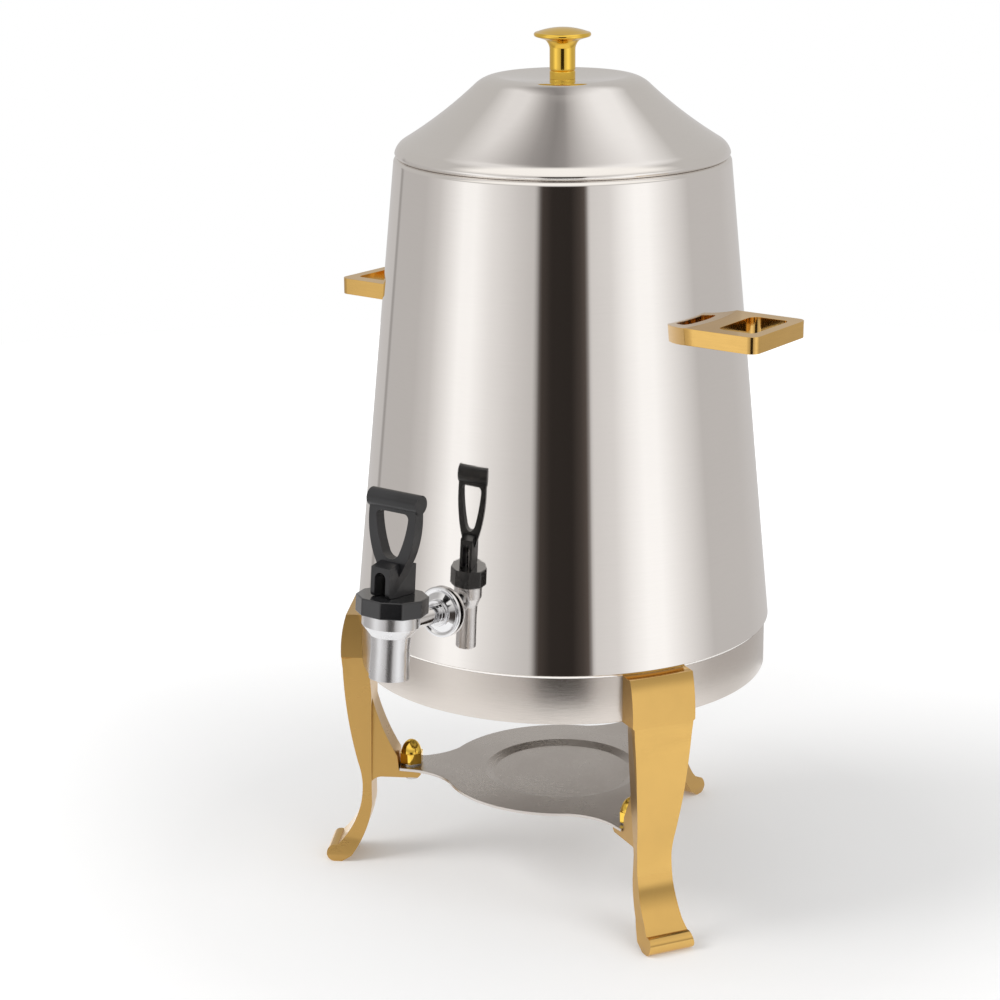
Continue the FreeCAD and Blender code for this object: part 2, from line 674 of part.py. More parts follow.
def leg(side, turn):
    """Cast leg: a plate on the base ring, a bowed shank, a curled toe and a tray bracket."""
    name = "leg_" + side
    profile = DOC.addObject("PartDesign::Body", name + "_profile")
    toe_tip = f"(Dim.leg_toe_rad + {LEG_PUSH})"
    toe = f"({toe_tip} - Dim.toe_rad)"
    sole = sketch(profile, "side_view", "XZ_Plane", [
        ("Dim.ring_rad - 4", "Dim.leg_top"),
        (f"Dim.leg_plate_rad + {LEG_PUSH}", "Dim.leg_top", "90", 1),
        (f"Dim.leg_bulge_rad + {LEG_PUSH}", "Dim.leg_bulge_level", "340", 1),
        (f"Dim.leg_ankle_rad + 2 + {LEG_PUSH}", "Dim.leg_ankle_level + 18", "59.4", -1),
        (f"{toe} - 1.5", "Dim.toe_rad * 2", "Dim.toe_rad", 1),
        (toe_tip, "Dim.toe_rad", "Dim.toe_rad", 1),
        (toe, "0"),
        (f"{toe} - 4.5", "0"),
        (f"{toe} - 11", "4", "75", 1),
        ("Dim.leg_back_rad", "Dim.leg_ankle_level - 12"),
        ("Dim.leg_back_rad", "Dim.leg_ankle_level + 4"),
        ("Dim.leg_back_rad - 1.5", "Dim.ring_bottom - 28"),
        ("Dim.leg_back_rad", "Dim.ring_bottom"),
        ("Dim.ring_rad - 4", "Dim.ring_bottom"),
    ])
    pad(profile, "side_pad", sole, "Dim.leg_width + 8", midplane=True)
    trim = DOC.addObject("Part::Loft", name + "_trim")
    trim.Sections = [
        leg_outline(name + "_back", "Dim.leg_back_rad - 6", "Dim.leg_back_narrowing"),
        leg_outline(name + "_middle", f"Dim.leg_plate_rad + {LEG_PUSH}", "0"),
        leg_outline(name + "_front", f"{toe_tip} + 4", "0"),
    ]
    trim.Solid = True
    trim.Ruled = True
    shank = DOC.addObject("Part::Common", name + "_shank")
    shank.Base = profile
    shank.Tool = trim

    arm = DOC.addObject("PartDesign::Body", name + "_bracket")
    low, high = "(Dim.tray_level - Dim.tray_wall - Dim.bracket_wall)", "(Dim.tray_level - Dim.tray_wall)"
    view = sketch(arm, "side_view", "XZ_Plane", [
        ("Dim.bracket_reach + 2", low),
        ("Dim.leg_back_rad - 8", low, "9", 1),
        ("Dim.leg_back_rad + 2", f"{low} - 8"),
        ("Dim.leg_back_rad + 2", "Dim.ring_bottom - 30"),
        ("Dim.leg_back_rad - 1", "Dim.ring_bottom - 30", "150", 1),
        ("Dim.tray_arm_reach + 1.5", f"{high} + 10"),
        ("Dim.tray_arm_reach + 0.5", high),
        ("Dim.bracket_reach", high),
        ("Dim.bracket_reach", f"{low} + 2"),
    ])
    pad(arm, "bracket_pad", view, "Dim.bracket_width", midplane=True)
    rod(arm, "bolt_hole", "Dim.bolt_rad + 0.1", "Dim.bracket_wall + 4",
        V(number("Dim.bolt_circle"), 0, number(low) - 2), V(0, 0, 1), cut=True)

    whole = DOC.addObject("Part::Fuse", name + "_whole")
    whole.Base = shank
    whole.Tool = arm
    ring = DOC.addObject("Part::Cylinder", name + "_ring_space")
    ring.setExpression("Radius", "Dim.ring_rad + Dim.contact_gap")
    ring.setExpression("Height", "Dim.leg_top + 20 - Dim.ring_bottom")
    ring.setExpression("Placement.Base.z", "Dim.ring_bottom")
    hugging = DOC.addObject("Part::Cut", name + "_hugging")
    hugging.Base = whole
    hugging.Tool = ring
    holes = []
    level = number("Dim.ring_bottom + Dim.leg_screw_level")
    for i, way in enumerate((-1, 1)):
        angle = math.radians(way * number("Dim.leg_screw_turn"))
        hole = DOC.addObject("Part::Cylinder", f"{name}_screw_hole_{i}")
        hole.setExpression("Radius", "Dim.leg_screw_rad")
        hole.setExpression("Height", "Dim.leg_screw_depth + 2")
        reach = number("Dim.ring_rad") - 2
        outward = V(math.cos(angle), math.sin(angle), 0)
        hole.Placement = FreeCAD.Placement(
            outward * reach + V(0, 0, level), FreeCAD.Rotation(V(0, 0, 1), outward))
        holes.append(hole)
    bored = DOC.addObject("Part::Cut", name + "_bored")
    bored.Base = hugging
    bored.Tool = holes[0]
    node = DOC.addObject("Part::Cut", name)
    node.Base = bored
    node.Tool = holes[1]
    node.Label = name
    place(node, V(0, 0, 0), about_z(turn - 90.0))
    DOC.recompute()
    NODES.append(node)


def bolt_places():
    """Placements on the bolt circle, at the tray's level, one in each leg's plane."""
    radius = number("Dim.bolt_circle")
    places = []
    for turn in LEG_TURNS.values():
        angle = math.radians(turn)
        places.append(FreeCAD.Placement(
            V(radius * math.sin(angle), -radius * math.cos(angle), number("Dim.tray_level")), about_z(turn)))
    return places


def upright_lathe(name, points):
    """Solid of revolution about local Z from (radius, height)."""
    solid = lathe(name, points, 360)
    turned_up = FreeCAD.Rotation(V(0, -1, 0), V(0, 0, 1))
    holder = DOC.addObject("Part::Compound", name + "_upright")
    solid.Placement = FreeCAD.Placement(V(0, 0, 0), turned_up)
    holder.Links = [solid]
    return holder


def cap_nut(name):
    """Domed nut: a hexagon with a round cap."""
    hexagon = DOC.addObject("Part::Prism", name + "_hexagon")
    hexagon.Polygon = 6
    hexagon.setExpression("Circumradius", "Dim.cap_flats / sqrt(3)")
    hexagon.setExpression("Height", "Dim.cap_hex_height")
    hexagon.setExpression("Placement.Base.z", "Dim.washer_wall")
    dome = DOC.addObject("Part::Ellipsoid", name + "_dome")
    dome.setExpression("Radius1", "Dim.cap_height - Dim.cap_hex_height + 2")
    dome.setExpression("Radius2", "Dim.cap_dome_rad")
    dome.Angle1 = 0
    dome.setExpression("Placement.Base.z", "Dim.washer_wall + Dim.cap_hex_height - 2")
    fused = DOC.addObject("Part::Fuse", name + "_fused")
    fused.Base = hexagon
    fused.Tool = dome
    bore = DOC.addObject("Part::Cylinder", name + "_bore")
    bore.setExpression("Radius", "Dim.bolt_rad")
    bore.setExpression("Height", "Dim.bolt_rise")
    nut = DOC.addObject("Part::Cut", name)
    nut.Base = fused
    nut.Tool = bore
    return nut


def tray():
    """Pressed burner tray on three arms, with its bolts, washers and domed nuts."""
    body = new_body("burner_tray")
    top, under = "Dim.tray_level", "(Dim.tray_level - Dim.tray_wall)"
    turned(body, "dish", "XZ_Plane", [
        ("0", f"{top} - Dim.seat_depth"),
        ("Dim.seat_rad", f"{top} - Dim.seat_depth"),
        ("Dim.seat_rim_rad", top),
        ("Dim.tray_rad", top),
        ("Dim.tray_rad", under),
        ("Dim.seat_rim_rad", under),
        ("Dim.seat_rad", f"{under} - Dim.seat_depth"),
        ("0", f"{under} - Dim.seat_depth"),
    ])
    half = "Dim.tray_arm_width / 2"
    root = ("Dim.tray_rad * 0.91", "Dim.tray_rad * 0.405")
    arm = sketch(body, "arm_plan", "XY_Plane", [
        ("Dim.seat_rim_rad + 3", f"-({root[1]}) - 2"),
        (root[0], f"-({root[1]})", "Dim.tray_neck_arc", 1),
        ("Dim.tray_arm_reach - 10", f"-({half}) - 1.4"),
        ("Dim.tray_arm_reach", f"-({half})"),
        ("Dim.tray_arm_reach", half),
        ("Dim.tray_arm_reach - 10", f"{half} + 1.4", "Dim.tray_neck_arc", 1),
        (root[0], root[1]),
        ("Dim.seat_rim_rad + 3", f"{root[1]} + 2"),
    ], lift=under)
    pad(body, "arm", arm, "Dim.tray_wall")
    pattern = body.newObject("PartDesign::PolarPattern", "arms")
    pattern.Originals = [body.getObject("arm")]
    pattern.Axis = (origin_axis(body, "Z_Axis"), [""])
    pattern.Angle = 360
    pattern.Occurrences = 3
    body.Tip = pattern
    DOC.recompute()
    for i in range(3):
        angle = math.radians(120.0 * i)
        base = V(number("Dim.bolt_circle") * math.cos(angle), number("Dim.bolt_circle") * math.sin(angle),
                 number(under) - 2)
        rod(body, f"bolt_hole_{i}", "Dim.bolt_rad + 0.1", "Dim.tray_wall + 4", base, V(0, 0, 1), cut=True)
    place(body, V(0, 0, 0), about_z(90.0))

    places = bolt_places()
    head = "(-Dim.tray_wall - Dim.bracket_wall)"
    bolt = [
        ("0", f"{head} - Dim.bolt_head_height"),
        ("Dim.bolt_head_rad - 0.8", f"{head} - Dim.bolt_head_height"),
        ("Dim.bolt_head_rad", f"{head} - Dim.bolt_head_height + 1"),
        ("Dim.bolt_head_rad", head),
        ("Dim.bolt_rad", head),
        ("Dim.bolt_rad", "Dim.bolt_rise"),
        ("0", "Dim.bolt_rise"),
    ]
    group("tray_bolts", places, lambda name: upright_lathe(name, bolt))
    washer = [
        ("Dim.bolt_rad + 0.1", "0"),
        ("Dim.cap_washer_rad", "0"),
        ("Dim.cap_washer_rad", "Dim.washer_wall"),
        ("Dim.bolt_rad + 0.1", "Dim.washer_wall"),
    ]
    group("tray_washers", places, lambda name: upright_lathe(name, washer))
    group("cap_nuts", places, cap_nut)


def origin_axis(body, role):
    return next(axis for axis in body.Origin.OriginFeatures if axis.Role == role)


def tap_body(name):
    """New body in the tap's frame, which stands square on the sloping wall at the tap's level."""
    body = new_body(name)
    body.Placement = on_wall(0, "Dim.tap_level")
    return body


AXIS_Y = "-Dim.tap_offset"


def around_tap_axis(body, name, points, cut=False):
    """Turn an outline of (radius, level) about the tap's upright axis."""
    moved = [(f"{AXIS_Y} + ({p[0]})",) + tuple(p[1:]) for p in points]
    sk = sketch(body, name + "_outline", "YZ_Plane", moved)
    line = sk.addGeometry(Part.LineSegment(V(number(AXIS_Y), -50, 0), V(number(AXIS_Y), 50, 0)), True)
    sk.addConstraint(Sketcher.Constraint("Vertical", line))
    at = sk.addConstraint(Sketcher.Constraint("DistanceX", -1, 1, line, 1, number(AXIS_Y)))
    sk.setExpression(f"Constraints[{at}]", AXIS_Y)
    turn = body.newObject("PartDesign::Groove" if cut else "PartDesign::Revolution", name)
    turn.Profile = (sk, [""])
    turn.ReferenceAxis = (sk, ["Axis0"])
    turn.Angle = 360
    DOC.recompute()
    return turn


def curved_seal(name, near, far, depth, keep_outside):
    """Ring round the shank between two reaches, with one face pressed to the curved wall."""
    frame = on_wall(0, "Dim.tap_level")
    turn = frame.Rotation.multiply(FreeCAD.Rotation(V(0, 0, 1), V(0, 1, 0)))
    rods = []
    for part, radius in (("disc", "Dim.seal_rad"), ("hole", "Dim.shank_rad + Dim.thread_gap")):
        rod_ = DOC.addObject("Part::Cylinder", f"{name}_{part}")
        rod_.setExpression("Radius", radius)
        rod_.setExpression("Height", f"({far}) - ({near})")
        rod_.Placement = FreeCAD.Placement(frame.multVec(V(0, number(near), 0)), turn)
        rods.append(rod_)
    wall = DOC.addObject("Part::Cone", name + "_wall")
    low, high = "(Dim.tap_level - 40)", "(Dim.tap_level + 40)"
    wall.setExpression("Radius1", f"{cone_rad(low)} - ({depth})")
    wall.setExpression("Radius2", f"{cone_rad(high)} - ({depth})")
    wall.setExpression("Height", f"{high} - {low}")
    wall.setExpression("Placement.Base.z", low)
    ring = DOC.addObject("Part::Cut", name + "_ring")
    ring.Base, ring.Tool = rods
    node = DOC.addObject("Part::Cut" if keep_outside else "Part::Common", name)
    node.Base = ring
    node.Tool = wall
    node.Label = name
    DOC.recompute()
    NODES.append(node)


def tap_fixed():
    """Flange, shank, seals, nut, chrome body and ten-sided bonnet of the tap."""
    wall, rim = "Dim.flange_gap", "Dim.flange_rim"
    flange = tap_body("tap_flange")
    turned(flange, "flange", "YZ_Plane", [
        ("-Dim.seal_wall", "Dim.shank_rad + Dim.thread_gap"),
        ("-Dim.seal_wall", "Dim.seal_rad"),
        (f"-{wall}", "Dim.seal_rad + 0.4"),
        (f"-{wall}", "Dim.flange_rad - 0.6"),
        (f"-{wall} - {rim} / 2", "Dim.flange_rad"),
        (f"-{wall} - {rim}", "Dim.flange_rad - 0.6"),
        (f"-{wall} - {rim}", "Dim.flange_rad - 2"),
        (f"-{wall} - {rim} * 0.55", "Dim.flange_rad - 3.4"),
        ("-Dim.flange_depth", "Dim.shank_collar_rad + 0.6"),
        ("-Dim.flange_depth", "Dim.shank_rad + Dim.thread_gap"),
    ], axis="H_Axis")

    shank = tap_body("tap_shank")
    socket_end = "(Dim.tap_offset - Dim.barrel_rad)"
    turned(shank, "shank", "YZ_Plane", [
        ("Dim.shell_wall + Dim.shank_inside", "Dim.shank_bore"),
        ("Dim.shell_wall + Dim.shank_inside", "Dim.shank_rad"),
        ("-Dim.flange_depth", "Dim.shank_rad"),
        ("-Dim.flange_depth", "Dim.shank_collar_rad"),
        ("-Dim.flange_depth - Dim.shank_collar_width", "Dim.shank_collar_rad"),
        ("-Dim.flange_depth - Dim.shank_collar_width", "Dim.shank_rad"),
        (f"-{socket_end}", "Dim.shank_rad"),
        (f"-{socket_end}", "Dim.shank_bore"),
    ], axis="H_Axis")

    curved_seal("seal_outer", "-Dim.seal_wall", "3", "0", keep_outside=True)
    curved_seal("seal_inner", "-1", "Dim.shell_wall + Dim.seal_wall", "Dim.shell_wall + 0.02", keep_outside=False)

    nut = tap_body("shank_nut")
    seat = "(Dim.shell_wall + Dim.seal_wall)"
    outline = nut.newObject("Sketcher::SketchObject", "hexagon")
    outline.AttachmentSupport = [(origin_plane(nut, "XZ_Plane"), "")]
    outline.MapMode = "FlatFace"
    outline.setExpression("AttachmentOffset.Base.z", f"-{seat} - Dim.nut_height")
    polygon(outline, 6, "Dim.nut_flats / sqrt(3)", 0.0)
    pad(nut, "hexagon_pad", outline, "Dim.nut_height")
    rod(nut, "thread", "Dim.shank_rad + Dim.thread_gap", "Dim.nut_height + 4",
        V(0, number(seat) - 2, 0), V(0, 1, 0), cut=True)

    body = tap_body("tap_body")
    around_tap_axis(body, "casting", [
        ("0", "Dim.outlet_level"),
        ("Dim.barrel_rad", "Dim.outlet_level"),
        ("Dim.waist_rad", "Dim.waist_level"),
        ("Dim.barrel_rad", "Dim.barrel_top"),
        ("Dim.cup_rad", "Dim.cup_base"),
        ("Dim.cup_rad", "Dim.cup_top"),
        ("0", "Dim.cup_top"),
    ])
    rod(body, "socket", "Dim.shank_socket_rad", "Dim.shank_socket_reach", V(0, number(AXIS_Y), 0), V(0, 1, 0))
    around_tap_axis(body, "chamber", [
        ("0", "Dim.valve_level"),
        ("Dim.outlet_bore", "Dim.valve_level"),
        ("Dim.outlet_bore", "Dim.cup_top + 1"),
        ("0", "Dim.cup_top + 1"),
    ], cut=True)
    around_tap_axis(body, "outlet", [
        ("0", "Dim.outlet_level - 1"),
        ("Dim.outlet_bore", "Dim.outlet_level - 1"),
        ("Dim.outlet_bore", "Dim.valve_level - Dim.valve_ledge"),
        ("Dim.valve_bore", "Dim.valve_level - Dim.valve_ledge"),
        ("Dim.valve_bore", "Dim.valve_level + 1"),
        ("0", "Dim.valve_level + 1"),
    ], cut=True)
    rod(body, "shank_socket", "Dim.shank_rad + Dim.contact_gap", "Dim.shank_socket_reach",
        V(0, number("-Dim.tap_offset + Dim.barrel_rad"), 0), V(0, 1, 0), cut=True)
    rod(body, "shank_port", "Dim.shank_bore", "Dim.barrel_rad + 2",
        V(0, number(AXIS_Y), 0), V(0, 1, 0), cut=True)

    bonnet = tap_body("tap_bonnet")
    outline = bonnet.newObject("Sketcher::SketchObject", "decagon")
    outline.AttachmentSupport = [(origin_plane(bonnet, "XY_Plane"), "")]
    outline.MapMode = "FlatFace"
    outline.setExpression("AttachmentOffset.Base.z", "Dim.bonnet_bottom")
    polygon(outline, 10, "Dim.bonnet_rad", number(AXIS_Y), 0.0)
    pad(bonnet, "collar", outline, "Dim.bonnet_top - Dim.bonnet_bottom")
    around_tap_axis(bonnet, "thread", [
        ("0", "Dim.bonnet_bottom - 1"),
        ("Dim.cup_rad + Dim.thread_gap", "Dim.bonnet_bottom - 1"),
        ("Dim.cup_rad + Dim.thread_gap", "Dim.cup_top"),
        ("Dim.stem_rad + Dim.stem_gap", "Dim.cup_top"),
        ("Dim.stem_rad + Dim.stem_gap", "Dim.bonnet_top + 1"),
        ("0", "Dim.bonnet_top + 1"),
    ], cut=True)


def polygon(sk, count, radius, shift, first=0.5):
    """Regular polygon in a sketch; each corner is tied to the sheet, shift moves it along Y."""
    corners = []
    for i in range(count):
        angle = math.radians(360.0 * (i + first) / count)
        corners.append((f"({radius}) * {math.cos(angle):.9f}", f"({radius}) * {math.sin(angle):.9f}"))
    along = AXIS_Y if shift else "0"
    places = [V(number(x), number(y) + shift, 0) for x, y in corners]
    for i, start in enumerate(places):
        sk.addGeometry(Part.LineSegment(start, places[(i + 1) % count]))
    for i in range(count):
        sk.addConstraint(Sketcher.Constraint("Coincident", i, 2, (i + 1) % count, 1))
    for i, (x, y) in enumerate(corners):
        for kind, formula in (("DistanceX", x), ("DistanceY", f"{y} + ({along})")):
            at = sk.addConstraint(Sketcher.Constraint(kind, -1, 1, i, 1, number(formula)))
            sk.setExpression(f"Constraints[{at}]", formula)


def tap_valve():
    """Stem with its silicone seat cup, and the spring that presses them down."""
    stem = tap_body("valve_stem")
    cup_top = "(Dim.valve_level + Dim.cup_seal_height)"
    around_tap_axis(stem, "stem", [
        ("0", f"{cup_top} - 3"),
        ("Dim.stem_rad", f"{cup_top} - 3"),
        ("Dim.stem_rad", "Dim.stem_top - 0.6"),
        ("Dim.stem_rad - 0.6", "Dim.stem_top"),
        ("0", "Dim.stem_top"),
    ])
    rod(stem, "pin_hole", "Dim.pin_rad + 0.05", "Dim.stem_rad * 4",
        V(-number("Dim.stem_rad * 2"), number(AXIS_Y), number("Dim.pin_level")), V(1, 0, 0), cut=True)

    cup = tap_body("seat_cup")
    around_tap_axis(cup, "cup", [
        ("0", "Dim.valve_level"),
        ("Dim.cup_seal_rad - 1", "Dim.valve_level"),
        ("Dim.cup_seal_rad", "Dim.valve_level + 1.2"),
        ("Dim.cup_seal_rad", cup_top),
        ("Dim.stem_rad", cup_top),
        ("Dim.stem_rad", f"{cup_top} - 3"),
        ("0", f"{cup_top} - 3"),
    ])

    spring = tap_body("valve_spring")
    around_tap_axis(spring, "spring", [
        ("Dim.spring_rad - Dim.spring_wire", cup_top),
        ("Dim.spring_rad", cup_top),
        ("Dim.spring_rad", "Dim.cup_top"),
        ("Dim.spring_rad - Dim.spring_wire", "Dim.cup_top"),
    ])


def tap_lever():
    """Black pull lever: slotted rocking block, web, open loop and round top bar."""
    lever = tap_body("tap_lever")
    foot = "(Dim.bonnet_top + Dim.heel_gap)"
    top = f"({foot} + Dim.block_height)"
    deep, round_ = "Dim.block_depth / 2", "Dim.heel_round"
    block = sketch(lever, "block_side", "YZ_Plane", [
        (f"{AXIS_Y} + {deep}", foot),
        (f"{AXIS_Y} + {deep}", top),
        (f"{AXIS_Y} + Dim.lever_wall / 2", f"{top} + Dim.block_crown"),
        (f"{AXIS_Y} - Dim.lever_wall / 2", f"{top} + Dim.block_crown"),
        (f"{AXIS_Y} - {deep}", top),
        (f"{AXIS_Y} - {deep}", f"{foot} + {round_}", round_, -1),
        (f"{AXIS_Y} - {deep} + {round_}", foot),
    ])
    pad(lever, "block", block, "Dim.block_width", midplane=True)
    low, bar = "(Dim.lever_web_level - 9)", "Dim.lever_bar_level"
    web, head = "Dim.lever_web_width / 2", "Dim.lever_top_width / 2"
    arms = sketch(lever, "loop_front", "XZ_Plane", [
        ("-Dim.block_width / 2", f"{low} - 4"),
        ("Dim.block_width / 2", f"{low} - 4"),
        (web, "Dim.lever_web_level - 2", "60", -1),
        (head, bar),
        (f"-({head})", bar, "60", -1),
        (f"-({web})", "Dim.lever_web_level - 2"),
    ], lift="Dim.tap_offset")
    pad(lever, "loop", arms, "Dim.lever_wall", midplane=True)
    rod(lever, "bar", "Dim.lever_bar_rad", "Dim.lever_bar_length",
        V(-number("Dim.lever_bar_length") / 2, number(AXIS_Y), number(bar)), V(1, 0, 0))
    wide, arc = "Dim.window_top_width / 2", "Dim.window_foot_arc"
    window = sketch(lever, "window_front", "XZ_Plane", [
        (f"-{arc} * 0.94", f"Dim.window_bottom + {arc} * 0.66", arc, -1),
        (f"{arc} * 0.94", f"Dim.window_bottom + {arc} * 0.66", "70", -1),
        (wide, f"{bar} - Dim.lever_bar_rad - 4", "3.2", -1),
        (f"{wide} - 3", f"{bar} - Dim.lever_bar_rad - 0.6"),
        (f"-({wide}) + 3", f"{bar} - Dim.lever_bar_rad - 0.6", "3.2", -1),
        (f"-({wide})", f"{bar} - Dim.lever_bar_rad - 4", "70", -1),
    ], lift="Dim.tap_offset")
    pocket_through(lever, "window", window)
    slot = sketch(lever, "slot_front", "XZ_Plane", [
        ("-Dim.slot_width / 2", f"{foot} - 1"),
        ("Dim.slot_width / 2", f"{foot} - 1"),
        ("Dim.slot_width / 2", "Dim.slot_top - Dim.slot_width / 2", "Dim.slot_width / 2", -1),
        ("0", "Dim.slot_top", "Dim.slot_width / 2", -1),
        ("-Dim.slot_width / 2", "Dim.slot_top - Dim.slot_width / 2"),
    ], lift="Dim.tap_offset")
    pocket_through(lever, "slot", slot)
    rod(lever, "pin_hole", "Dim.pin_rad", "Dim.pin_length",
        V(-number("Dim.pin_length") / 2, number(AXIS_Y), number("Dim.pin_level")), V(1, 0, 0), cut=True)

    pin = tap_body("lever_pin")
    rod(pin, "pin", "Dim.pin_rad", "Dim.pin_length",
        V(-number("Dim.pin_length") / 2, number(AXIS_Y), number("Dim.pin_level")), V(1, 0, 0))


def check_and_write():
    """Stop on any failed object or bad shape, then write one STEP file for each node."""
    DOC.recompute()
    for thing in DOC.Objects:
        if "Invalid" in thing.State or "Error" in thing.State:
            raise RuntimeError(f"{thing.Name} failed: {thing.State}")
    os.makedirs("parts", exist_ok=True)
    for node in NODES:
        shape = node.Shape
        if shape.isNull() or not shape.isValid() or not shape.Solids:
            raise RuntimeError(f"{node.Label} has no valid solid")
        shape.exportStep(f"parts/{node.Label}.step")
        box = shape.BoundBox
        print(f"{node.Label:16s} solids {len(shape.Solids)} volume {shape.Volume / 1000:8.2f} cm3 "
              f"x {box.XMin:7.1f} {box.XMax:7.1f} y {box.YMin:7.1f} {box.YMax:7.1f} "
              f"z {box.ZMin:6.1f} {box.ZMax:6.1f}")


vessel()
lid()
knob()
handles()
fasteners()
for leg_side, leg_angle in LEG_TURNS.items():
    leg(leg_side, leg_angle)
tray()
tap_fixed()
tap_valve()
tap_lever()
check_and_write()
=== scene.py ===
"""Looks of the coffee urn: polished skins, gold fittings, the tap and a plain studio.

Shapes are drawn in millimetres and scaled to the frame's metres. Each piece rides on one body of
the pack, apart from the valve's coil, which rides on none.
"""

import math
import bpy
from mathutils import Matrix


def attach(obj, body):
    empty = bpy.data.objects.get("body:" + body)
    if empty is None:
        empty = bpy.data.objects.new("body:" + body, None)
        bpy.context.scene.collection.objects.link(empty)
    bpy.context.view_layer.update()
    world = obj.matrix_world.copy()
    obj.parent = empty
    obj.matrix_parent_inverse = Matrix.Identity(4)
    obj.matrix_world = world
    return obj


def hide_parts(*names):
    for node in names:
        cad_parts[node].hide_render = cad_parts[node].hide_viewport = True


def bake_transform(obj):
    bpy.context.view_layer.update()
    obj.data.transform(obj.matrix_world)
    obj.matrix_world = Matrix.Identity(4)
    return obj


bl_info = {
    "name": "Coffee urn looks",
    "version": (1, 0, 0),
    "blender": (4, 5, 0),
    "location": "3D View > Sidebar > Urn",
    "description": "Dresses the packed coffee urn and builds its studio",
    "category": "Object",
}

import bmesh
import bpy
import numpy as np
from mathutils import Quaternion, Vector

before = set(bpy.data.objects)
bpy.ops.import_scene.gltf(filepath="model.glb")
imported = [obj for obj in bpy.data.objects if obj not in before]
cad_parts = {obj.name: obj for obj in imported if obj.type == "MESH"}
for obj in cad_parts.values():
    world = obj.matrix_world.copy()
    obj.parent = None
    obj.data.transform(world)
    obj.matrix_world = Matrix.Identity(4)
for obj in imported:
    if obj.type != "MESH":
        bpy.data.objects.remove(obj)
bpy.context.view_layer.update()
MM = 0.001

# Levels and radii in millimetres of the wall and of the ring under it, and the wall's slope.
RING_BOTTOM = 146.0
RING_TOP = 175.6
RING_RAD = 130.0
RING_SHEET = 1.5
RING_INNER = RING_RAD - RING_SHEET
WALL_TOP = 470.6
WALL_SHEET = 1.2
BASE_RAD = 132.2
TOP_RAD = 104.2
FOOT_ROLL = 2.2
SHOULDER = 3.0
WALL_SLOPE = (BASE_RAD - TOP_RAD) / (WALL_TOP - RING_TOP - FOOT_ROLL - SHOULDER)
WALL_TILT = math.atan(WALL_SLOPE)

# The tap's level on the wall, and the Y of its upright axis in the tap's own frame.
TAP_LEVEL = 210.0
TAP_AXIS = -49.5

# Heights in metres that the bump of brushed lines and of fine grain stands for.
LINE_DEPTH = 0.00006
GRAIN_DEPTH = 0.00005

# Node groups and materials by name, filled by the materials operator.
GROUPS = {}
MATERIALS = {}


def wall_rad(level):
    """Outer radius of the tapered wall: the foot's radius less the slope times the rise."""
    return BASE_RAD - (level - RING_TOP - FOOT_ROLL) * WALL_SLOPE


# Shapes


def arc(start, end, radius, side, count=14):
    """Points of the short arc of that radius from start to end.

    The centre stands off the chord's middle by sqrt(radius^2 - half chord^2); side +1 bulges to
    the left of the way from start to end, -1 to the right. The angle then runs evenly.
    """
    start, end = np.array(start, float), np.array(end, float)
    chord = end - start
    length = np.hypot(*chord)
    rise = math.sqrt(max(radius ** 2 - (length / 2) ** 2, 0.0))
    across = np.array([-chord[1], chord[0]]) / length
    centre = (start + end) / 2 - across * rise * side
    a = math.atan2(*(start - centre)[::-1])
    b = math.atan2(*(end - centre)[::-1])
    turn = (b - a + math.pi) % (2 * math.pi) - math.pi
    t = a + turn * np.linspace(0, 1, count)
    return np.stack([centre[0] + radius * np.cos(t), centre[1] + radius * np.sin(t)], 1)


def outline(*points):
    """Polyline through the points; a point (x, y, radius, side) starts an arc to the next one.

    A fifth value gives the arc's count of points. The point after the last is the first.
    """
    parts = []
    for point, follower in zip(points, points[1:] + points[:1]):
        if len(point) > 2:
            parts.append(arc(point[:2], follower[:2], *point[2:])[:-1])
        else:
            parts.append(np.array([point], float))
    return np.concatenate(parts)


def clean_mesh(mesh, inside_out):
    """Merges doubled points and turns all faces one way, and back where inside_out says so."""
    bm = bmesh.new()
    bm.from_mesh(mesh)
    bmesh.ops.remove_doubles(bm, verts=bm.verts, dist=1e-6)
    bmesh.ops.recalc_face_normals(bm, faces=bm.faces)
    bm.faces.ensure_lookup_table()
    if inside_out(bm):
        bmesh.ops.reverse_faces(bm, faces=bm.faces)
    bm.to_mesh(mesh)
    bm.free()


def finish_mesh(name, mesh, material, body, replaces, smooth_angle=30.0, bevel=0.0):
    """Object at the origin: smooth shading, softened edges, its material and its body if it has one."""
    clean_mesh(mesh, lambda bm: bm.calc_volume(signed=True) < 0)
    for extra in ("custom_normal", "sharp_face", "sharp_edge"):
        if extra in mesh.attributes:
            mesh.attributes.remove(mesh.attributes[extra])
    mesh.shade_smooth()
    mesh.set_sharp_from_angle(angle=math.radians(smooth_angle))
    piece = bpy.data.objects.new(name, mesh)
    bpy.context.scene.collection.objects.link(piece)
    mesh.materials.clear()
    mesh.materials.append(MATERIALS[material])
    if bevel:
        soften = piece.modifiers.new("soft edges", "BEVEL")
        soften.width = bevel * MM
        soften.segments = 3
        soften.limit_method = "ANGLE"
        soften.angle_limit = math.radians(smooth_angle + 5)
        soften.harden_normals = False
        soften.use_clamp_overlap = True
    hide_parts(*replaces)
    if body:
        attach(piece, body)
    return piece


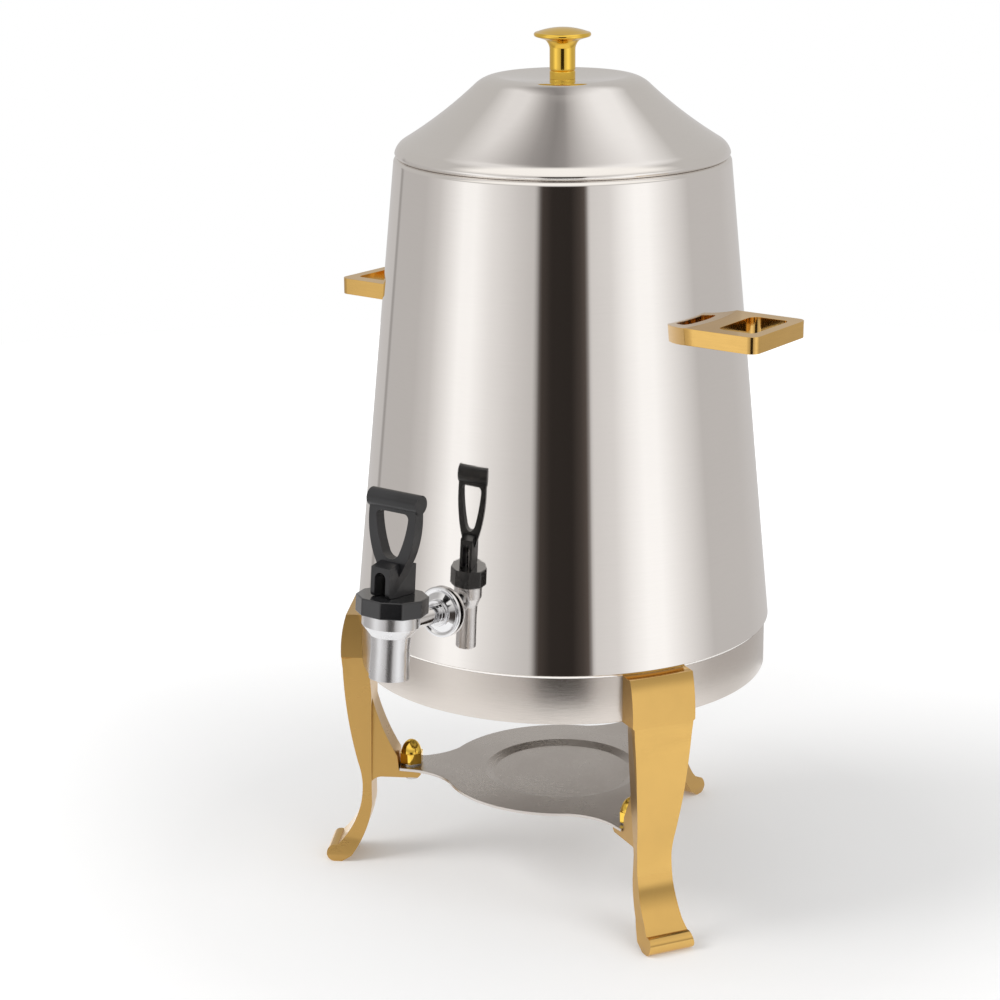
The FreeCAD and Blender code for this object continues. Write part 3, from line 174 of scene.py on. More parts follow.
def grid_mesh(name, points, wrap_u, wrap_v):
    """Quad mesh over a grid of points[u, v]; either direction may close on itself."""
    nu, nv = points.shape[:2]
    u = np.arange(nu if wrap_u else nu - 1)
    v = np.arange(nv if wrap_v else nv - 1)
    uu, vv = np.meshgrid(u, v, indexing="ij")
    un, vn = (uu + 1) % nu, (vv + 1) % nv
    faces = np.stack([uu * nv + vv, un * nv + vv, un * nv + vn, uu * nv + vn], -1).reshape(-1, 4)
    mesh = bpy.data.meshes.new(name)
    mesh.vertices.add(nu * nv)
    mesh.vertices.foreach_set("co", points.reshape(-1, 3).astype(np.float32).ravel())
    mesh.loops.add(faces.size)
    mesh.loops.foreach_set("vertex_index", faces.astype(np.int32).ravel())
    mesh.polygons.add(len(faces))
    mesh.polygons.foreach_set("loop_start", np.arange(0, faces.size, 4, dtype=np.int32))
    mesh.update(calc_edges=True)
    mesh.validate()
    return mesh


def turned(profile, steps):
    """Points of a surface of revolution: (r cos a, r sin a, z) for each angle a and (r, z)."""
    a = np.linspace(0, 2 * math.pi, steps, endpoint=False)[:, None]
    r, z = profile[None, :, 0], profile[None, :, 1]
    return np.stack(np.broadcast_arrays(r * np.cos(a), r * np.sin(a), z), -1) * MM


def in_tap_frame(points):
    """Moves points of the tap's own frame to its place, square on the sloping wall."""
    c, s = math.cos(WALL_TILT), math.sin(WALL_TILT)
    x, y, z = points[..., 0], points[..., 1], points[..., 2]
    base = wall_rad(TAP_LEVEL) * MM
    return np.stack([x, -base + y * c + z * s, TAP_LEVEL * MM - y * s + z * c], -1)


def lathe(name, profile, material, body, replaces, steps, closed=True, bevel=0.0,
          smooth_angle=30.0):
    """Turned piece from a profile of (radius, level) in millimetres."""
    mesh = grid_mesh(name, turned(profile, steps), True, closed)
    return finish_mesh(name, mesh, material, body, replaces, smooth_angle, bevel)


def dressed(node, name, material, body, bevel, smooth_angle=28.0):
    """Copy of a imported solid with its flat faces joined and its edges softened."""
    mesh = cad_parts[node].data.copy()
    mesh.name = name
    bm = bmesh.new()
    bm.from_mesh(mesh)
    bmesh.ops.remove_doubles(bm, verts=bm.verts, dist=2e-6)
    bmesh.ops.dissolve_degenerate(bm, dist=2e-6, edges=bm.edges)
    bmesh.ops.dissolve_limit(bm, angle_limit=math.radians(0.4), verts=bm.verts, edges=bm.edges)
    bm.to_mesh(mesh)
    bm.free()
    return finish_mesh(name, mesh, material, body, (node,), smooth_angle, bevel)


# Shader nodes


def add_node(tree, kind, inputs=None, **settings):
    """New node with its settings; each input, by index or name, gets a plain value or a socket."""
    node = tree.nodes.new(kind)
    for key, value in settings.items():
        setattr(node, key, value)
    for key, value in (inputs or {}).items():
        if isinstance(value, bpy.types.NodeSocket):
            tree.links.new(value, node.inputs[key])
        else:
            node.inputs[key].default_value = value
    return node


def maths(tree, operation, *values, clamp=False):
    """Result of a Math node; a value is a number or a socket."""
    node = add_node(tree, "ShaderNodeMath", dict(enumerate(values)), operation=operation, use_clamp=clamp)
    return node.outputs[0]


def vector_maths(tree, operation, *values):
    """Outputs of a Vector Math node; a value is a socket or three numbers."""
    return add_node(tree, "ShaderNodeVectorMath", dict(enumerate(values)), operation=operation).outputs


def split_vector(tree, vector):
    """The x, y and z of a vector."""
    return add_node(tree, "ShaderNodeSeparateXYZ", {0: vector}).outputs


def noise(tree, vector, scale, detail, rough):
    """Value of a noise texture at a place."""
    inputs = {"Vector": vector, "Scale": scale, "Detail": detail, "Roughness": rough}
    return add_node(tree, "ShaderNodeTexNoise", inputs).outputs[0]


def scaled(tree, value, low, high):
    """A 0 to 1 value spread between low and high."""
    inputs = {"Value": value, "To Min": low, "To Max": high}
    return add_node(tree, "ShaderNodeMapRange", inputs).outputs[0]


def rising(tree, value, start, end):
    """Share that goes from 0 to 1 as the value goes from start to end."""
    inputs = {"Value": value, "From Min": start, "From Max": end}
    return add_node(tree, "ShaderNodeMapRange", inputs).outputs[0]


def mixed(tree, share, low, high):
    """Colour between two colours, each a socket or three numbers, by a share from 0 to 1."""
    low, high = ((*color, 1) if isinstance(color, tuple) else color for color in (low, high))
    return add_node(tree, "ShaderNodeMix", {0: share, 6: low, 7: high}, data_type="RGBA").outputs[2]


def mixed_shaders(tree, share, low, high):
    """Shader between two shaders by a share from 0 to 1."""
    return add_node(tree, "ShaderNodeMixShader", {0: share, 1: low, 2: high}).outputs[0]


# Shared effects


def new_group(name, inputs, outputs):
    """Empty shader node group with named value or vector inputs and value outputs."""
    group = bpy.data.node_groups.new(name, "ShaderNodeTree")
    kinds = {"value": "NodeSocketFloat", "vector": "NodeSocketVector"}
    for label, kind, default in inputs:
        socket = group.interface.new_socket(label, in_out="INPUT", socket_type=kinds[kind])
        if default is not None:
            socket.default_value = default
    for label in outputs:
        group.interface.new_socket(label, in_out="OUTPUT", socket_type="NodeSocketFloat")
    return group, group.nodes.new("NodeGroupInput").outputs, group.nodes.new("NodeGroupOutput").inputs


def smudge_group():
    """Cloudy handling marks: a slow noise spread to 0 to 1, and a finer one beside it."""
    group, given, result = new_group(
        "Handling Marks",
        [("Vector", "vector", None), ("Scale", "value", 9.0), ("Fine Scale", "value", 160.0)],
        ["Mask", "Fine"])
    slow = noise(group, given["Vector"], given["Scale"], 4.0, 0.55)
    fine = noise(group, given["Vector"], given["Fine Scale"], 2.0, 0.6)
    start, gain = 0.38, 3.2
    spread = maths(group, "MULTIPLY", maths(group, "SUBTRACT", slow, start), gain, clamp=True)
    group.links.new(spread, result["Mask"])
    group.links.new(fine, result["Fine"])
    return group


def brush_group():
    """Fine lines that run round the upright axis: noise stretched along the angle."""
    group, given, result = new_group(
        "Turned Brushing",
        [("Vector", "vector", None), ("Lines", "value", 2600.0), ("Length", "value", 5.0)],
        ["Line"])
    x, y, z = split_vector(group, given["Vector"])
    square = maths(group, "ADD", maths(group, "MULTIPLY", x, x), maths(group, "MULTIPLY", y, y))
    along = maths(group, "MULTIPLY", maths(group, "ARCTAN2", y, x), given["Length"])
    upward = maths(group, "MULTIPLY", z, given["Lines"])
    outward = maths(group, "MULTIPLY", maths(group, "SQRT", square), given["Lines"])
    place = add_node(group, "ShaderNodeCombineXYZ", {0: along, 1: upward, 2: outward}).outputs[0]
    group.links.new(noise(group, place, 1.0, 2.0, 0.6), result["Line"])
    return group


def drag_group():
    """Straight drag lines of a polishing belt: noise squeezed across one direction."""
    group, given, result = new_group(
        "Belt Lines",
        [("Vector", "vector", None), ("Across", "vector", (40.0, 40.0, 1400.0))],
        ["Line"])
    place = vector_maths(group, "MULTIPLY", given["Vector"], given["Across"])[0]
    group.links.new(noise(group, place, 1.0, 2.0, 0.55), result["Line"])
    return group


def use_group(tree, key, **inputs):
    """Outputs of a shared group placed in a tree, with its inputs set."""
    inputs = {label.replace("_", " "): value for label, value in inputs.items()}
    return add_node(tree, "ShaderNodeGroup", inputs, node_tree=GROUPS[key]).outputs


# Materials


def darker(color, share):
    return tuple(c * share for c in color)


def start_material(name, metallic, coat=0.0):
    """New material, kept by name: its tree, its Principled shader and the place on the object."""
    material = bpy.data.materials.new(name)
    material.use_nodes = True
    MATERIALS[name] = material
    tree = material.node_tree
    shader = tree.nodes["Principled BSDF"]
    shader.inputs["Metallic"].default_value = metallic
    shader.inputs["Coat Weight"].default_value = coat
    return tree, shader, add_node(tree, "ShaderNodeTexCoord").outputs["Object"]


def add_bump(tree, shader, height, strength, distance):
    """Unevenness of the surface from a height between 0 and 1."""
    inputs = {"Strength": strength, "Distance": distance, "Height": height}
    tree.links.new(add_node(tree, "ShaderNodeBump", inputs).outputs[0], shader.inputs["Normal"])


def metal(name, color, shade, rough, spread, line=None, line_bump=0.0, mark_scale=9.0):
    """Metal with cloudy handling marks, and brushed lines where line gives them."""
    tree, shader, place = start_material(name, 1.0)
    mask = use_group(tree, "smudge", Vector=place, Scale=mark_scale)["Mask"]
    roughness = scaled(tree, mask, rough, rough + spread)
    if line:
        kind, inputs = line
        lines = use_group(tree, kind, Vector=place, **inputs)["Line"]
        line_share, mark_share = 0.6, 0.4
        from_lines = maths(tree, "MULTIPLY", lines, line_share)
        from_marks = maths(tree, "MULTIPLY", mask, mark_share)
        tone = maths(tree, "ADD", from_lines, from_marks, clamp=True)
        roughness = maths(tree, "ADD", roughness, scaled(tree, lines, -spread, spread))
        add_bump(tree, shader, lines, line_bump, LINE_DEPTH)
    else:
        tone = maths(tree, "MULTIPLY", mask, 0.5)
    tree.links.new(mixed(tree, tone, color, shade), shader.inputs["Base Color"])
    tree.links.new(roughness, shader.inputs["Roughness"])


def cast_gold(name, color, side, rough):
    """Cast metal polished on its front; faces turned sideways are duller as unpolished cast and browner as
    painted shade, for the dark parts around them that they mirror.

    A face counts as front as its normal lines up with the level direction from the urn's axis to the point,
    or with the upright, and the browner painted shade and the dullness fade from there.
    """
    tree, shader, place = start_material(name, 1.0)
    mask = use_group(tree, "smudge", Vector=place, Scale=22.0)["Mask"]
    lines = use_group(tree, "drag", Vector=place, Across=(60.0, 60.0, 900.0))["Line"]
    outward = vector_maths(tree, "NORMALIZE", vector_maths(tree, "MULTIPLY", place, (1, 1, 0))[0])[0]
    normal = add_node(tree, "ShaderNodeNewGeometry").outputs["Normal"]
    facing = vector_maths(tree, "DOT_PRODUCT", outward, normal)["Value"]
    front = maths(tree, "ADD", facing, maths(tree, "ABSOLUTE", split_vector(tree, normal)[2]))
    start, gain = 0.25, 2.2
    front_share = maths(tree, "MULTIPLY", maths(tree, "SUBTRACT", front, start), gain, clamp=True)
    # Sideways faces: partly unpolished cast, partly painted shade.
    unpolished_and_shaded = maths(tree, "SUBTRACT", 1.0, front_share, clamp=True)
    tone = mixed(tree, maths(tree, "MULTIPLY", mask, 0.5), color, darker(color, 0.86))
    # Painted shade: sideways faces take the darker side colour.
    tree.links.new(mixed(tree, unpolished_and_shaded, tone, side), shader.inputs["Base Color"])
    marked = scaled(tree, mask, rough, rough + 0.05)
    dull = maths(tree, "ADD", marked, maths(tree, "MULTIPLY", unpolished_and_shaded, 0.16))
    dragged = maths(tree, "ADD", dull, scaled(tree, lines, -0.03, 0.03))
    tree.links.new(dragged, shader.inputs["Roughness"])
    add_bump(tree, shader, lines, 0.05, GRAIN_DEPTH)


def plastic(name, color, shade, rough, spread, grain, coat=0.0):
    """Moulded plastic or rubber: faint grain in the surface and duller where it is handled."""
    tree, shader, place = start_material(name, 0.0, coat)
    smudge = use_group(tree, "smudge", Vector=place, Scale=35.0, Fine_Scale=2600.0)
    tree.links.new(mixed(tree, smudge["Mask"], color, shade), shader.inputs["Base Color"])
    tree.links.new(scaled(tree, smudge["Mask"], rough, rough + spread), shader.inputs["Roughness"])
    add_bump(tree, shader, smudge["Fine"], grain, GRAIN_DEPTH)
    shader.inputs["Coat Roughness"].default_value = 0.08


# What a user may change


class UrnLooks(bpy.types.PropertyGroup):
    steel: bpy.props.FloatVectorProperty(
        name="Steel", description="Colour of the polished steel", subtype="COLOR", size=3,
        min=0, max=1, default=(0.85, 0.82, 0.79))
    satin: bpy.props.FloatVectorProperty(
        name="Satin steel", description="Colour of the base ring", subtype="COLOR", size=3,
        min=0, max=1, default=(0.66, 0.61, 0.565))
    gold: bpy.props.FloatVectorProperty(
        name="Gold", description="Colour of the legs and handles", subtype="COLOR", size=3,
        min=0, max=1, default=(0.655, 0.412, 0.128))
    knob_gold: bpy.props.FloatVectorProperty(
        name="Knob gold", description="Colour of the knob and the domed nuts", subtype="COLOR", size=3,
        min=0, max=1, default=(0.95, 0.62, 0.10))
    black: bpy.props.FloatVectorProperty(
        name="Black", description="Colour of the lever and its collar", subtype="COLOR", size=3,
        min=0, max=1, default=(0.012, 0.012, 0.013))
    polish: bpy.props.FloatProperty(
        name="Polish roughness", description="Roughness of the polished wall", min=0.0, max=1.0,
        default=0.03)
    edge: bpy.props.FloatProperty(
        name="Edge softness", description="Rounding of the cast legs' edges", unit="LENGTH", min=0.0,
        max=0.005, default=0.0009)
    spring_turns: bpy.props.IntProperty(
        name="Spring turns", description="Turns of the valve spring", min=3, max=20, default=7)


class UrnStage(bpy.types.PropertyGroup):
    lens: bpy.props.FloatProperty(
        name="Lens", description="Focal length of the camera on a 36 mm sensor", unit="CAMERA",
        min=10, max=300, default=93.2)
    floor: bpy.props.FloatVectorProperty(
        name="Floor", description="Colour of the floor", subtype="COLOR", size=3, min=0, max=1,
        default=(0.88, 0.88, 0.88))
    key: bpy.props.FloatProperty(
        name="Key light", description="Power of the main soft light", subtype="POWER", min=0, max=500,
        default=26.0)
    fill: bpy.props.FloatProperty(
        name="Fill light", description="Power of the fill light", subtype="POWER", min=0, max=500,
        default=14.0)


class URN_OT_materials(bpy.types.Operator):
    """Builds the shared effects and every material"""
    bl_idname = "urn.materials"
    bl_label = "Materials"

    def execute(self, context):
        looks = context.scene.urn_looks
        GROUPS["smudge"] = smudge_group()
        GROUPS["brush"] = brush_group()
        GROUPS["drag"] = drag_group()
        self.steels(looks)
        self.golds(tuple(looks.gold), tuple(looks.knob_gold))
        self.plastics(tuple(looks.black))
        return {"FINISHED"}

    def steels(self, looks):
        steel, satin = tuple(looks.steel), tuple(looks.satin)
        around = ("brush", {"Lines": 2600.0, "Length": 6.0})
        band_lines = ("brush", {"Lines": 2200.0, "Length": 9.0})
        tray_lines = ("brush", {"Lines": 1500.0, "Length": 8.0})
        screw_lines = ("drag", {"Across": (900.0, 900.0, 300.0)})
        metal("mirror_wall", steel, darker(steel, 0.93), looks.polish, 0.02, around, 0.03, 7.0)
        metal("mirror_lid", steel, darker(steel, 0.92), 0.07, 0.04, around, 0.04, 8.0)
        metal("satin_band", satin, darker(satin, 0.88), 0.22, 0.05, band_lines, 0.25)
        metal("satin_tray", (0.62, 0.585, 0.55), (0.50, 0.46, 0.43), 0.27, 0.06, tray_lines, 0.22, 14.0)
        metal("inner_steel", (0.52, 0.50, 0.48), (0.40, 0.38, 0.36), 0.34, 0.08, around, 0.2)
        metal("bright_chrome", (0.74, 0.74, 0.75), (0.64, 0.64, 0.65), 0.07, 0.03, mark_scale=40.0)
        metal("soft_chrome", (0.72, 0.72, 0.73), (0.62, 0.62, 0.63), 0.26, 0.05, mark_scale=40.0)
        metal("screw_steel", (0.62, 0.61, 0.60), (0.48, 0.47, 0.46), 0.24, 0.08, screw_lines, 0.1, 60.0)
        metal("spring_steel", (0.66, 0.66, 0.67), (0.50, 0.50, 0.52), 0.22, 0.08, mark_scale=90.0)

    def golds(self, gold, knob):
        belt_lines = ("drag", {"Across": (60.0, 60.0, 900.0)})
        knob_lines = ("brush", {"Lines": 5200.0, "Length": 4.0})
        # The legs' darker side colour is painted shade, and partly the unpolished cast.
        cast_gold("gold_cast", gold, (0.46, 0.28, 0.09), 0.12)
        metal("gold_bar", darker(gold, 1.22), gold, 0.10, 0.05, belt_lines, 0.05, 30.0)
        metal("gold_turned", knob, darker(knob, 0.88), 0.05, 0.03, knob_lines, 0.02, 60.0)

    def plastics(self, black):
        plastic("lever_black", black, darker(black, 2.0), 0.30, 0.12, 0.12)
        plastic("collar_black", darker(black, 0.8), darker(black, 1.6), 0.14, 0.08, 0.05, 0.4)
        plastic("seal_black", (0.02, 0.02, 0.02), (0.035, 0.034, 0.033), 0.55, 0.15, 0.3)
        plastic("milky_silicone", (0.80, 0.78, 0.73), (0.70, 0.67, 0.61), 0.42, 0.12, 0.15)


class URN_OT_vessel(bpy.types.Operator):
    """Builds the tapered wall, its rolled foot and shoulder, and the satin base ring"""
    bl_idname = "urn.vessel"
    bl_label = "Vessel"

    def execute(self, context):
        mouth = TOP_RAD - SHOULDER - 2.8
        wall = outline(
            (mouth, WALL_TOP - WALL_SHEET),
            (TOP_RAD - SHOULDER, WALL_TOP - WALL_SHEET, SHOULDER - WALL_SHEET, -1),
            (TOP_RAD - WALL_SHEET, WALL_TOP - SHOULDER),
            (BASE_RAD - WALL_SHEET, RING_TOP + FOOT_ROLL),
            (RING_INNER, RING_TOP + WALL_SHEET),
            (RING_INNER, RING_TOP),
            (RING_RAD, RING_TOP, 2.6, 1, 8),
            (BASE_RAD, RING_TOP + FOOT_ROLL),
            (TOP_RAD, WALL_TOP - SHOULDER, SHOULDER, -1),
            (TOP_RAD - SHOULDER, WALL_TOP),
            (mouth, WALL_TOP, 0.62, 1, 6))
        lathe("wall_skin", wall, "mirror_wall", "urn", ("vessel_shell",), 256)
        lip = 123.0
        edge = 0.6
        gap = 0.1
        collar = 7.5
        ring = outline(
            (lip, RING_BOTTOM),
            (RING_RAD - edge, RING_BOTTOM, 0.65, -1, 6),
            (RING_RAD, RING_BOTTOM + edge),
            (RING_RAD, RING_TOP - gap),
            (RING_INNER, RING_TOP - gap),
            (RING_INNER, RING_TOP + collar),
            (RING_INNER - RING_SHEET, RING_TOP + collar),
            (RING_INNER - RING_SHEET, RING_TOP - RING_SHEET),
            (RING_INNER, RING_TOP - RING_SHEET),
            (RING_INNER, RING_BOTTOM + RING_SHEET),
            (lip, RING_BOTTOM + RING_SHEET, 0.78, 1, 6))
        lathe("base_band", ring, "satin_band", "urn", ("base_ring",), 256)
        return {"FINISHED"}


class URN_OT_lid(bpy.types.Operator):
    """Builds the pressed lid and its turned gold knob"""
    bl_idname = "urn.lid"
    bl_label = "Lid"

    def execute(self, context):
        seat = WALL_TOP
        crown = seat + 46.7
        sheet = 1.0
        dish = 14.0
        bore = 2.6
        lip = 97.8
        lid = outline(
            (lip, seat),
            (101.5, seat, 3.4, -1, 6),
            (103.4, seat + 2.4, 10.6, -1),
            (98.5, seat + 9.2, 280.0, 1, 20),
            (54.0, seat + 43.2, 20.5, -1, 20),
            (40.0, seat + 48.9, 60.0, -1, 6),
            (37.5, seat + 48.7),
            (dish, crown),
            (bore, crown),
            (bore, crown - sheet),
            (dish, crown - sheet),
            (40.0, seat + 47.9, 19.5, 1, 16),
            (53.3, seat + 42.5, 281.0, -1, 16),
            (98.0, seat + 8.4, 9.6, 1),
            (102.4, seat + 2.4),
            (100.5, seat + sheet),
            (lip, seat + sheet))
        lathe("lid_skin", lid, "mirror_lid", "lid", ("lid_shell",), 256, smooth_angle=40)
        self.knob(crown, bore)
        return {"FINISHED"}

    def knob(self, base, bore):
        """Collar on the lid's crown and the knob over it: neck, flare and domed disc."""
        neck = 7.9
        chamfer = 0.6
        shoulder = neck - 0.5
        top = base + 5.1
        ferrule = outline((bore, base), (neck, base), (neck, top - chamfer), (shoulder, top), (bore, top))
        lathe("knob_collar", ferrule, "gold_turned", "lid", ("knob_ferrule",), 96, bevel=0.15)
        thread = 2.5
        thread_top = top + 12.0
        flare = top + 13.0
        disc = flare + 5.6
        edge = disc + 3.1
        rim = 17.5
        lip = 1.4
        grip = outline(
            (0.0, thread_top), (thread, thread_top), (thread, top), (shoulder, top), (neck, top + chamfer),
            (neck, flare, 7.56, 1), (10.9, disc), (rim - lip, edge - lip, lip, -1, 8),
            (rim, edge, lip, -1, 8), (rim - lip, edge + lip, 46.1, -1, 12), (0.0, edge + 4.3))
        lathe("knob_grip", grip, "gold_turned", "lid", ("knob",), 96, closed=False)


class URN_OT_handles(bpy.types.Operator):
    """Softens the edges of the two carrying handles"""
    bl_idname = "urn.handles"
    bl_label = "Handles"

    def execute(self, context):
        for side in ("right", "left"):
            dressed("handle_" + side, "grip_bar_" + side, "gold_bar", "urn", 0.7)
        return {"FINISHED"}


class URN_OT_legs(bpy.types.Operator):
    """Softens the cast edges of the three legs"""
    bl_idname = "urn.legs"
    bl_label = "Legs"

    def execute(self, context):
        edge = context.scene.urn_looks.edge / MM
        for side in ("front_right", "front_left", "rear"):
            dressed("leg_" + side, "cast_leg_" + side, "gold_cast", "urn", edge)
        return {"FINISHED"}


class URN_OT_tray(bpy.types.Operator):
    """Dresses the burner tray, its bolts, washers and domed nuts"""
    bl_idname = "urn.tray"
    bl_label = "Burner tray"

    def execute(self, context):
        dressed("burner_tray", "pressed_tray", "satin_tray", "urn", 0.5, 12.0)
        dressed("cap_nuts", "domed_nuts", "gold_turned", "urn", 0.4)
        dressed("tray_bolts", "tray_bolt_heads", "screw_steel", "urn", 0.3)
        dressed("tray_washers", "tray_washer_rings", "screw_steel", "urn", 0.2)
        return {"FINISHED"}


class URN_OT_tap(bpy.types.Operator):
    """Dresses the chrome tap, its black collar and lever, and winds the valve's spring"""
    bl_idname = "urn.tap"
    bl_label = "Tap"

    def execute(self, context):
        dressed("tap_body", "tap_casting", "soft_chrome", "urn", 0.5)
        dressed("tap_flange", "tap_wall_plate", "bright_chrome", "urn", 0.4, 20.0)
        dressed("tap_shank", "tap_shank_tube", "bright_chrome", "urn", 0.3)
        dressed("tap_bonnet", "ten_sided_collar", "collar_black", "urn", 0.7, 20.0)
        dressed("tap_lever", "pull_lever", "lever_black", "lever", 0.8)
        self.spring(context.scene.urn_looks.spring_turns)
        return {"FINISHED"}

    def spring(self, turns):
        """Round wire along a helix: at each step a ring of points in the plane of the tap's axis.

        The first and the last ring shrink to their middle, which closes the wire's ends.
        """
        low = 1.8
        high = 13.0
        radius = 6.4
        wire = 0.6
        sides = 12
        steps_per_turn = 36
        t = np.linspace(0, 1, turns * steps_per_turn)[:, None]
        a = t * turns * 2 * math.pi
        rise = low + (high - low) * t
        ring = np.linspace(0, 2 * math.pi, sides, endpoint=False)[None, :]
        r = radius + wire * np.cos(ring)
        points = np.stack([r * np.cos(a), TAP_AXIS + r * np.sin(a), rise + wire * np.sin(ring)], -1)
        first = points[:1].mean(axis=1, keepdims=True).repeat(sides, axis=1)
        last = points[-1:].mean(axis=1, keepdims=True).repeat(sides, axis=1)
        points = in_tap_frame(np.concatenate([first, points, last]) * MM)
        mesh = grid_mesh("valve_coil", points, False, True)
        coil = finish_mesh("valve_coil", mesh, "spring_steel", None, ("valve_spring",))
        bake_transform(coil)


class URN_OT_small_parts(bpy.types.Operator):
    """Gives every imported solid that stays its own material"""
    bl_idname = "urn.small_parts"
    bl_label = "Small parts"

    FINISHES = {
        "inner_steel": ("vessel_pan", "lid_skirt"),
        "screw_steel": ("knob_screw", "knob_washer", "handle_screws", "leg_screws", "shank_nut", "lever_pin",
                        "valve_stem"),
        "seal_black": ("handle_washers", "seal_outer", "seal_inner"),
        "milky_silicone": ("seat_cup",),
    }

    def execute(self, context):
        for finish, nodes in self.FINISHES.items():
            for node in nodes:
                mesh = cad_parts[node].data
                mesh.materials.clear()
                mesh.materials.append(MATERIALS[finish])
        return {"FINISHED"}


class URN_OT_stage(bpy.types.Operator):
    """Builds the floor, the soft lights, the surroundings and the camera"""
    bl_idname = "urn.stage"
    bl_label = "Stage"

    # Fitted to the photo: place in metres, line of sight, and turn about it in degrees.
    CAMERA = (0.8984, -1.3121, 0.7111)
    FORWARD = (-0.56225, 0.77855, -0.27879)
    ROLL = -0.38

    # Level directions from the urn: to the camera, and to the right of the picture.
    AHEAD = (0.5855, -0.8107)
    RIGHT = (0.8107, 0.5855)

    # Place, width and aim of the two lights, in metres.
    KEY_PLACE = (-1.3, -1.5, 1.9)
    KEY_SIZE = 1.3
    FILL_PLACE = (1.9, -0.3, 1.5)
    FILL_SIZE = 1.5
    LIT_POINT = (0, 0, 0.25)

    # The floor's radius in millimetres, the radius in metres past which it grows paler to the
    # camera and how fast, and the radius in metres past which the metal no longer mirrors it.
    FLOOR_RAD = 1700.0
    FADE_START = 0.25
    FADE_RATE = 1.3
    MIRRORED_RAD = 0.42

    # Glow of the floor: for the camera near the urn, what far off adds to it, and in the metal.
    NEAR_GLOW = 0.10
    FAR_GLOW = 0.5
    MIRROR_GLOW = 0.35

    # Studio brightness at the horizon, by the angle in degrees from the camera to the right.
    AROUND = (
        (-180, 0.54), (-142, 0.54), (-139.5, 0.34), (-137.5, 0.34), (-135, 0.49), (-104, 0.50),
        (-90, 0.60), (-79, 0.80), (-69, 1.0), (-60, 1.0), (-47, 0.80), (-30, 0.63), (-19, 0.55),
        (-15, 0.060), (-8, 0.028), (4, 0.026), (10, 0.060), (13.5, 0.10), (16, 0.66), (29, 0.72),
        (38, 0.90), (47, 1.03), (56, 1.03), (70, 0.82), (90, 0.53), (127, 0.53), (141, 0.55),
        (144, 0.55), (180, 0.55))

    # Studio brightness overhead, from the left (-1) to the right (1) of the picture.
    OVERHEAD = (
        (-1.0, 0.77), (-0.36, 0.77), (-0.30, 0.655), (-0.22, 0.48), (-0.14, 0.33), (-0.05, 0.25),
        (0.02, 0.30), (0.05, 0.40), (0.15, 0.62), (0.23, 0.76), (0.31, 0.87), (0.36, 0.90),
        (1.0, 0.90))

    # Colours of the plain room between horizon and ceiling, and of the lamp above the camera.
    ROOM = (0.53, 0.515, 0.50)
    LAMP = (1.0, 0.98, 0.95)

    # Strength of the studio in the metal, of the light on everything else, and of the backdrop.
    PANEL_LIGHT = 1.12
    PLAIN_LIGHT = 0.62
    BACKDROP = 1.0

    def execute(self, context):
        scene = context.scene
        stage = scene.urn_stage
        scene.view_settings.view_transform = "Standard"
        self.camera(scene, stage)
        self.floor(scene, stage)
        self.light(scene, "key_light", self.KEY_PLACE, self.KEY_SIZE, stage.key)
        self.light(scene, "fill_light", self.FILL_PLACE, self.FILL_SIZE, stage.fill)
        self.world(scene)
        return {"FINISHED"}

    def camera(self, scene, stage):
        """Camera at the photo's place, turned about its line of sight to set the urn upright."""
        data = bpy.data.cameras.new("photo_camera")
        data.lens = stage.lens
        data.sensor_width = 36.0
        data.clip_end = 50.0
        camera = bpy.data.objects.new("photo_camera", data)
        camera.location = self.CAMERA
        aim = Vector(self.FORWARD).to_track_quat("-Z", "Y")
        camera.rotation_euler = (aim @ Quaternion((0, 0, 1), math.radians(self.ROLL))).to_euler()
        scene.collection.objects.link(camera)
        scene.camera = camera

    def floor(self, scene, stage):
        """Round pale floor, brighter to the camera far off, and unseen in the metal past a radius."""
        radius = np.linspace(0, self.FLOOR_RAD, 6)
        profile = np.stack([radius, 0 * radius], 1)
        mesh = grid_mesh("floor", turned(profile, 96), True, False)
        clean_mesh(mesh, lambda bm: bm.faces[0].normal.z < 0)
        floor = bpy.data.objects.new("floor", mesh)
        scene.collection.objects.link(floor)
        material = bpy.data.materials.new("pale_floor")
        material.use_nodes = True
        tree = material.node_tree
        shader = tree.nodes["Principled BSDF"]
        shader.inputs["Base Color"].default_value = (*stage.floor, 1)
        shader.inputs["Roughness"].default_value = 0.9
        shader.inputs["Specular IOR Level"].default_value = 0.0
        shader.inputs["Emission Color"].default_value = (1, 1, 1, 1)
        rays = add_node(tree, "ShaderNodeLightPath").outputs
        place = add_node(tree, "ShaderNodeTexCoord").outputs["Object"]
        reach = vector_maths(tree, "LENGTH", place)["Value"]
        past = maths(tree, "SUBTRACT", reach, self.FADE_START)
        far = maths(tree, "MULTIPLY", past, self.FADE_RATE, clamp=True)
        pale = maths(tree, "ADD", maths(tree, "MULTIPLY", far, self.FAR_GLOW), self.NEAR_GLOW)
        seen = maths(tree, "MULTIPLY", rays["Is Camera Ray"], pale)
        mirrored = maths(tree, "MULTIPLY", rays["Is Glossy Ray"], self.MIRROR_GLOW)
        tree.links.new(maths(tree, "ADD", seen, mirrored), shader.inputs["Emission Strength"])
        beyond = maths(tree, "GREATER_THAN", reach, self.MIRRORED_RAD)
        hidden = maths(tree, "MULTIPLY", beyond, rays["Is Glossy Ray"])
        clear = add_node(tree, "ShaderNodeBsdfTransparent").outputs[0]
        surface = mixed_shaders(tree, hidden, shader.outputs[0], clear)
        tree.links.new(surface, tree.nodes["Material Output"].inputs[0])
        mesh.materials.append(material)

    def light(self, scene, name, place, size, power):
        """Soft round light that the metal doesn't mirror."""
        data = bpy.data.lights.new(name, "AREA")
        data.shape = "DISK"
        data.size = size
        data.energy = power
        light = bpy.data.objects.new(name, data)
        light.location = place
        aim = Vector(self.LIT_POINT) - Vector(place)
        light.rotation_euler = aim.to_track_quat("-Z", "Y").to_euler()
        light.visible_glossy = False
        scene.collection.objects.link(light)

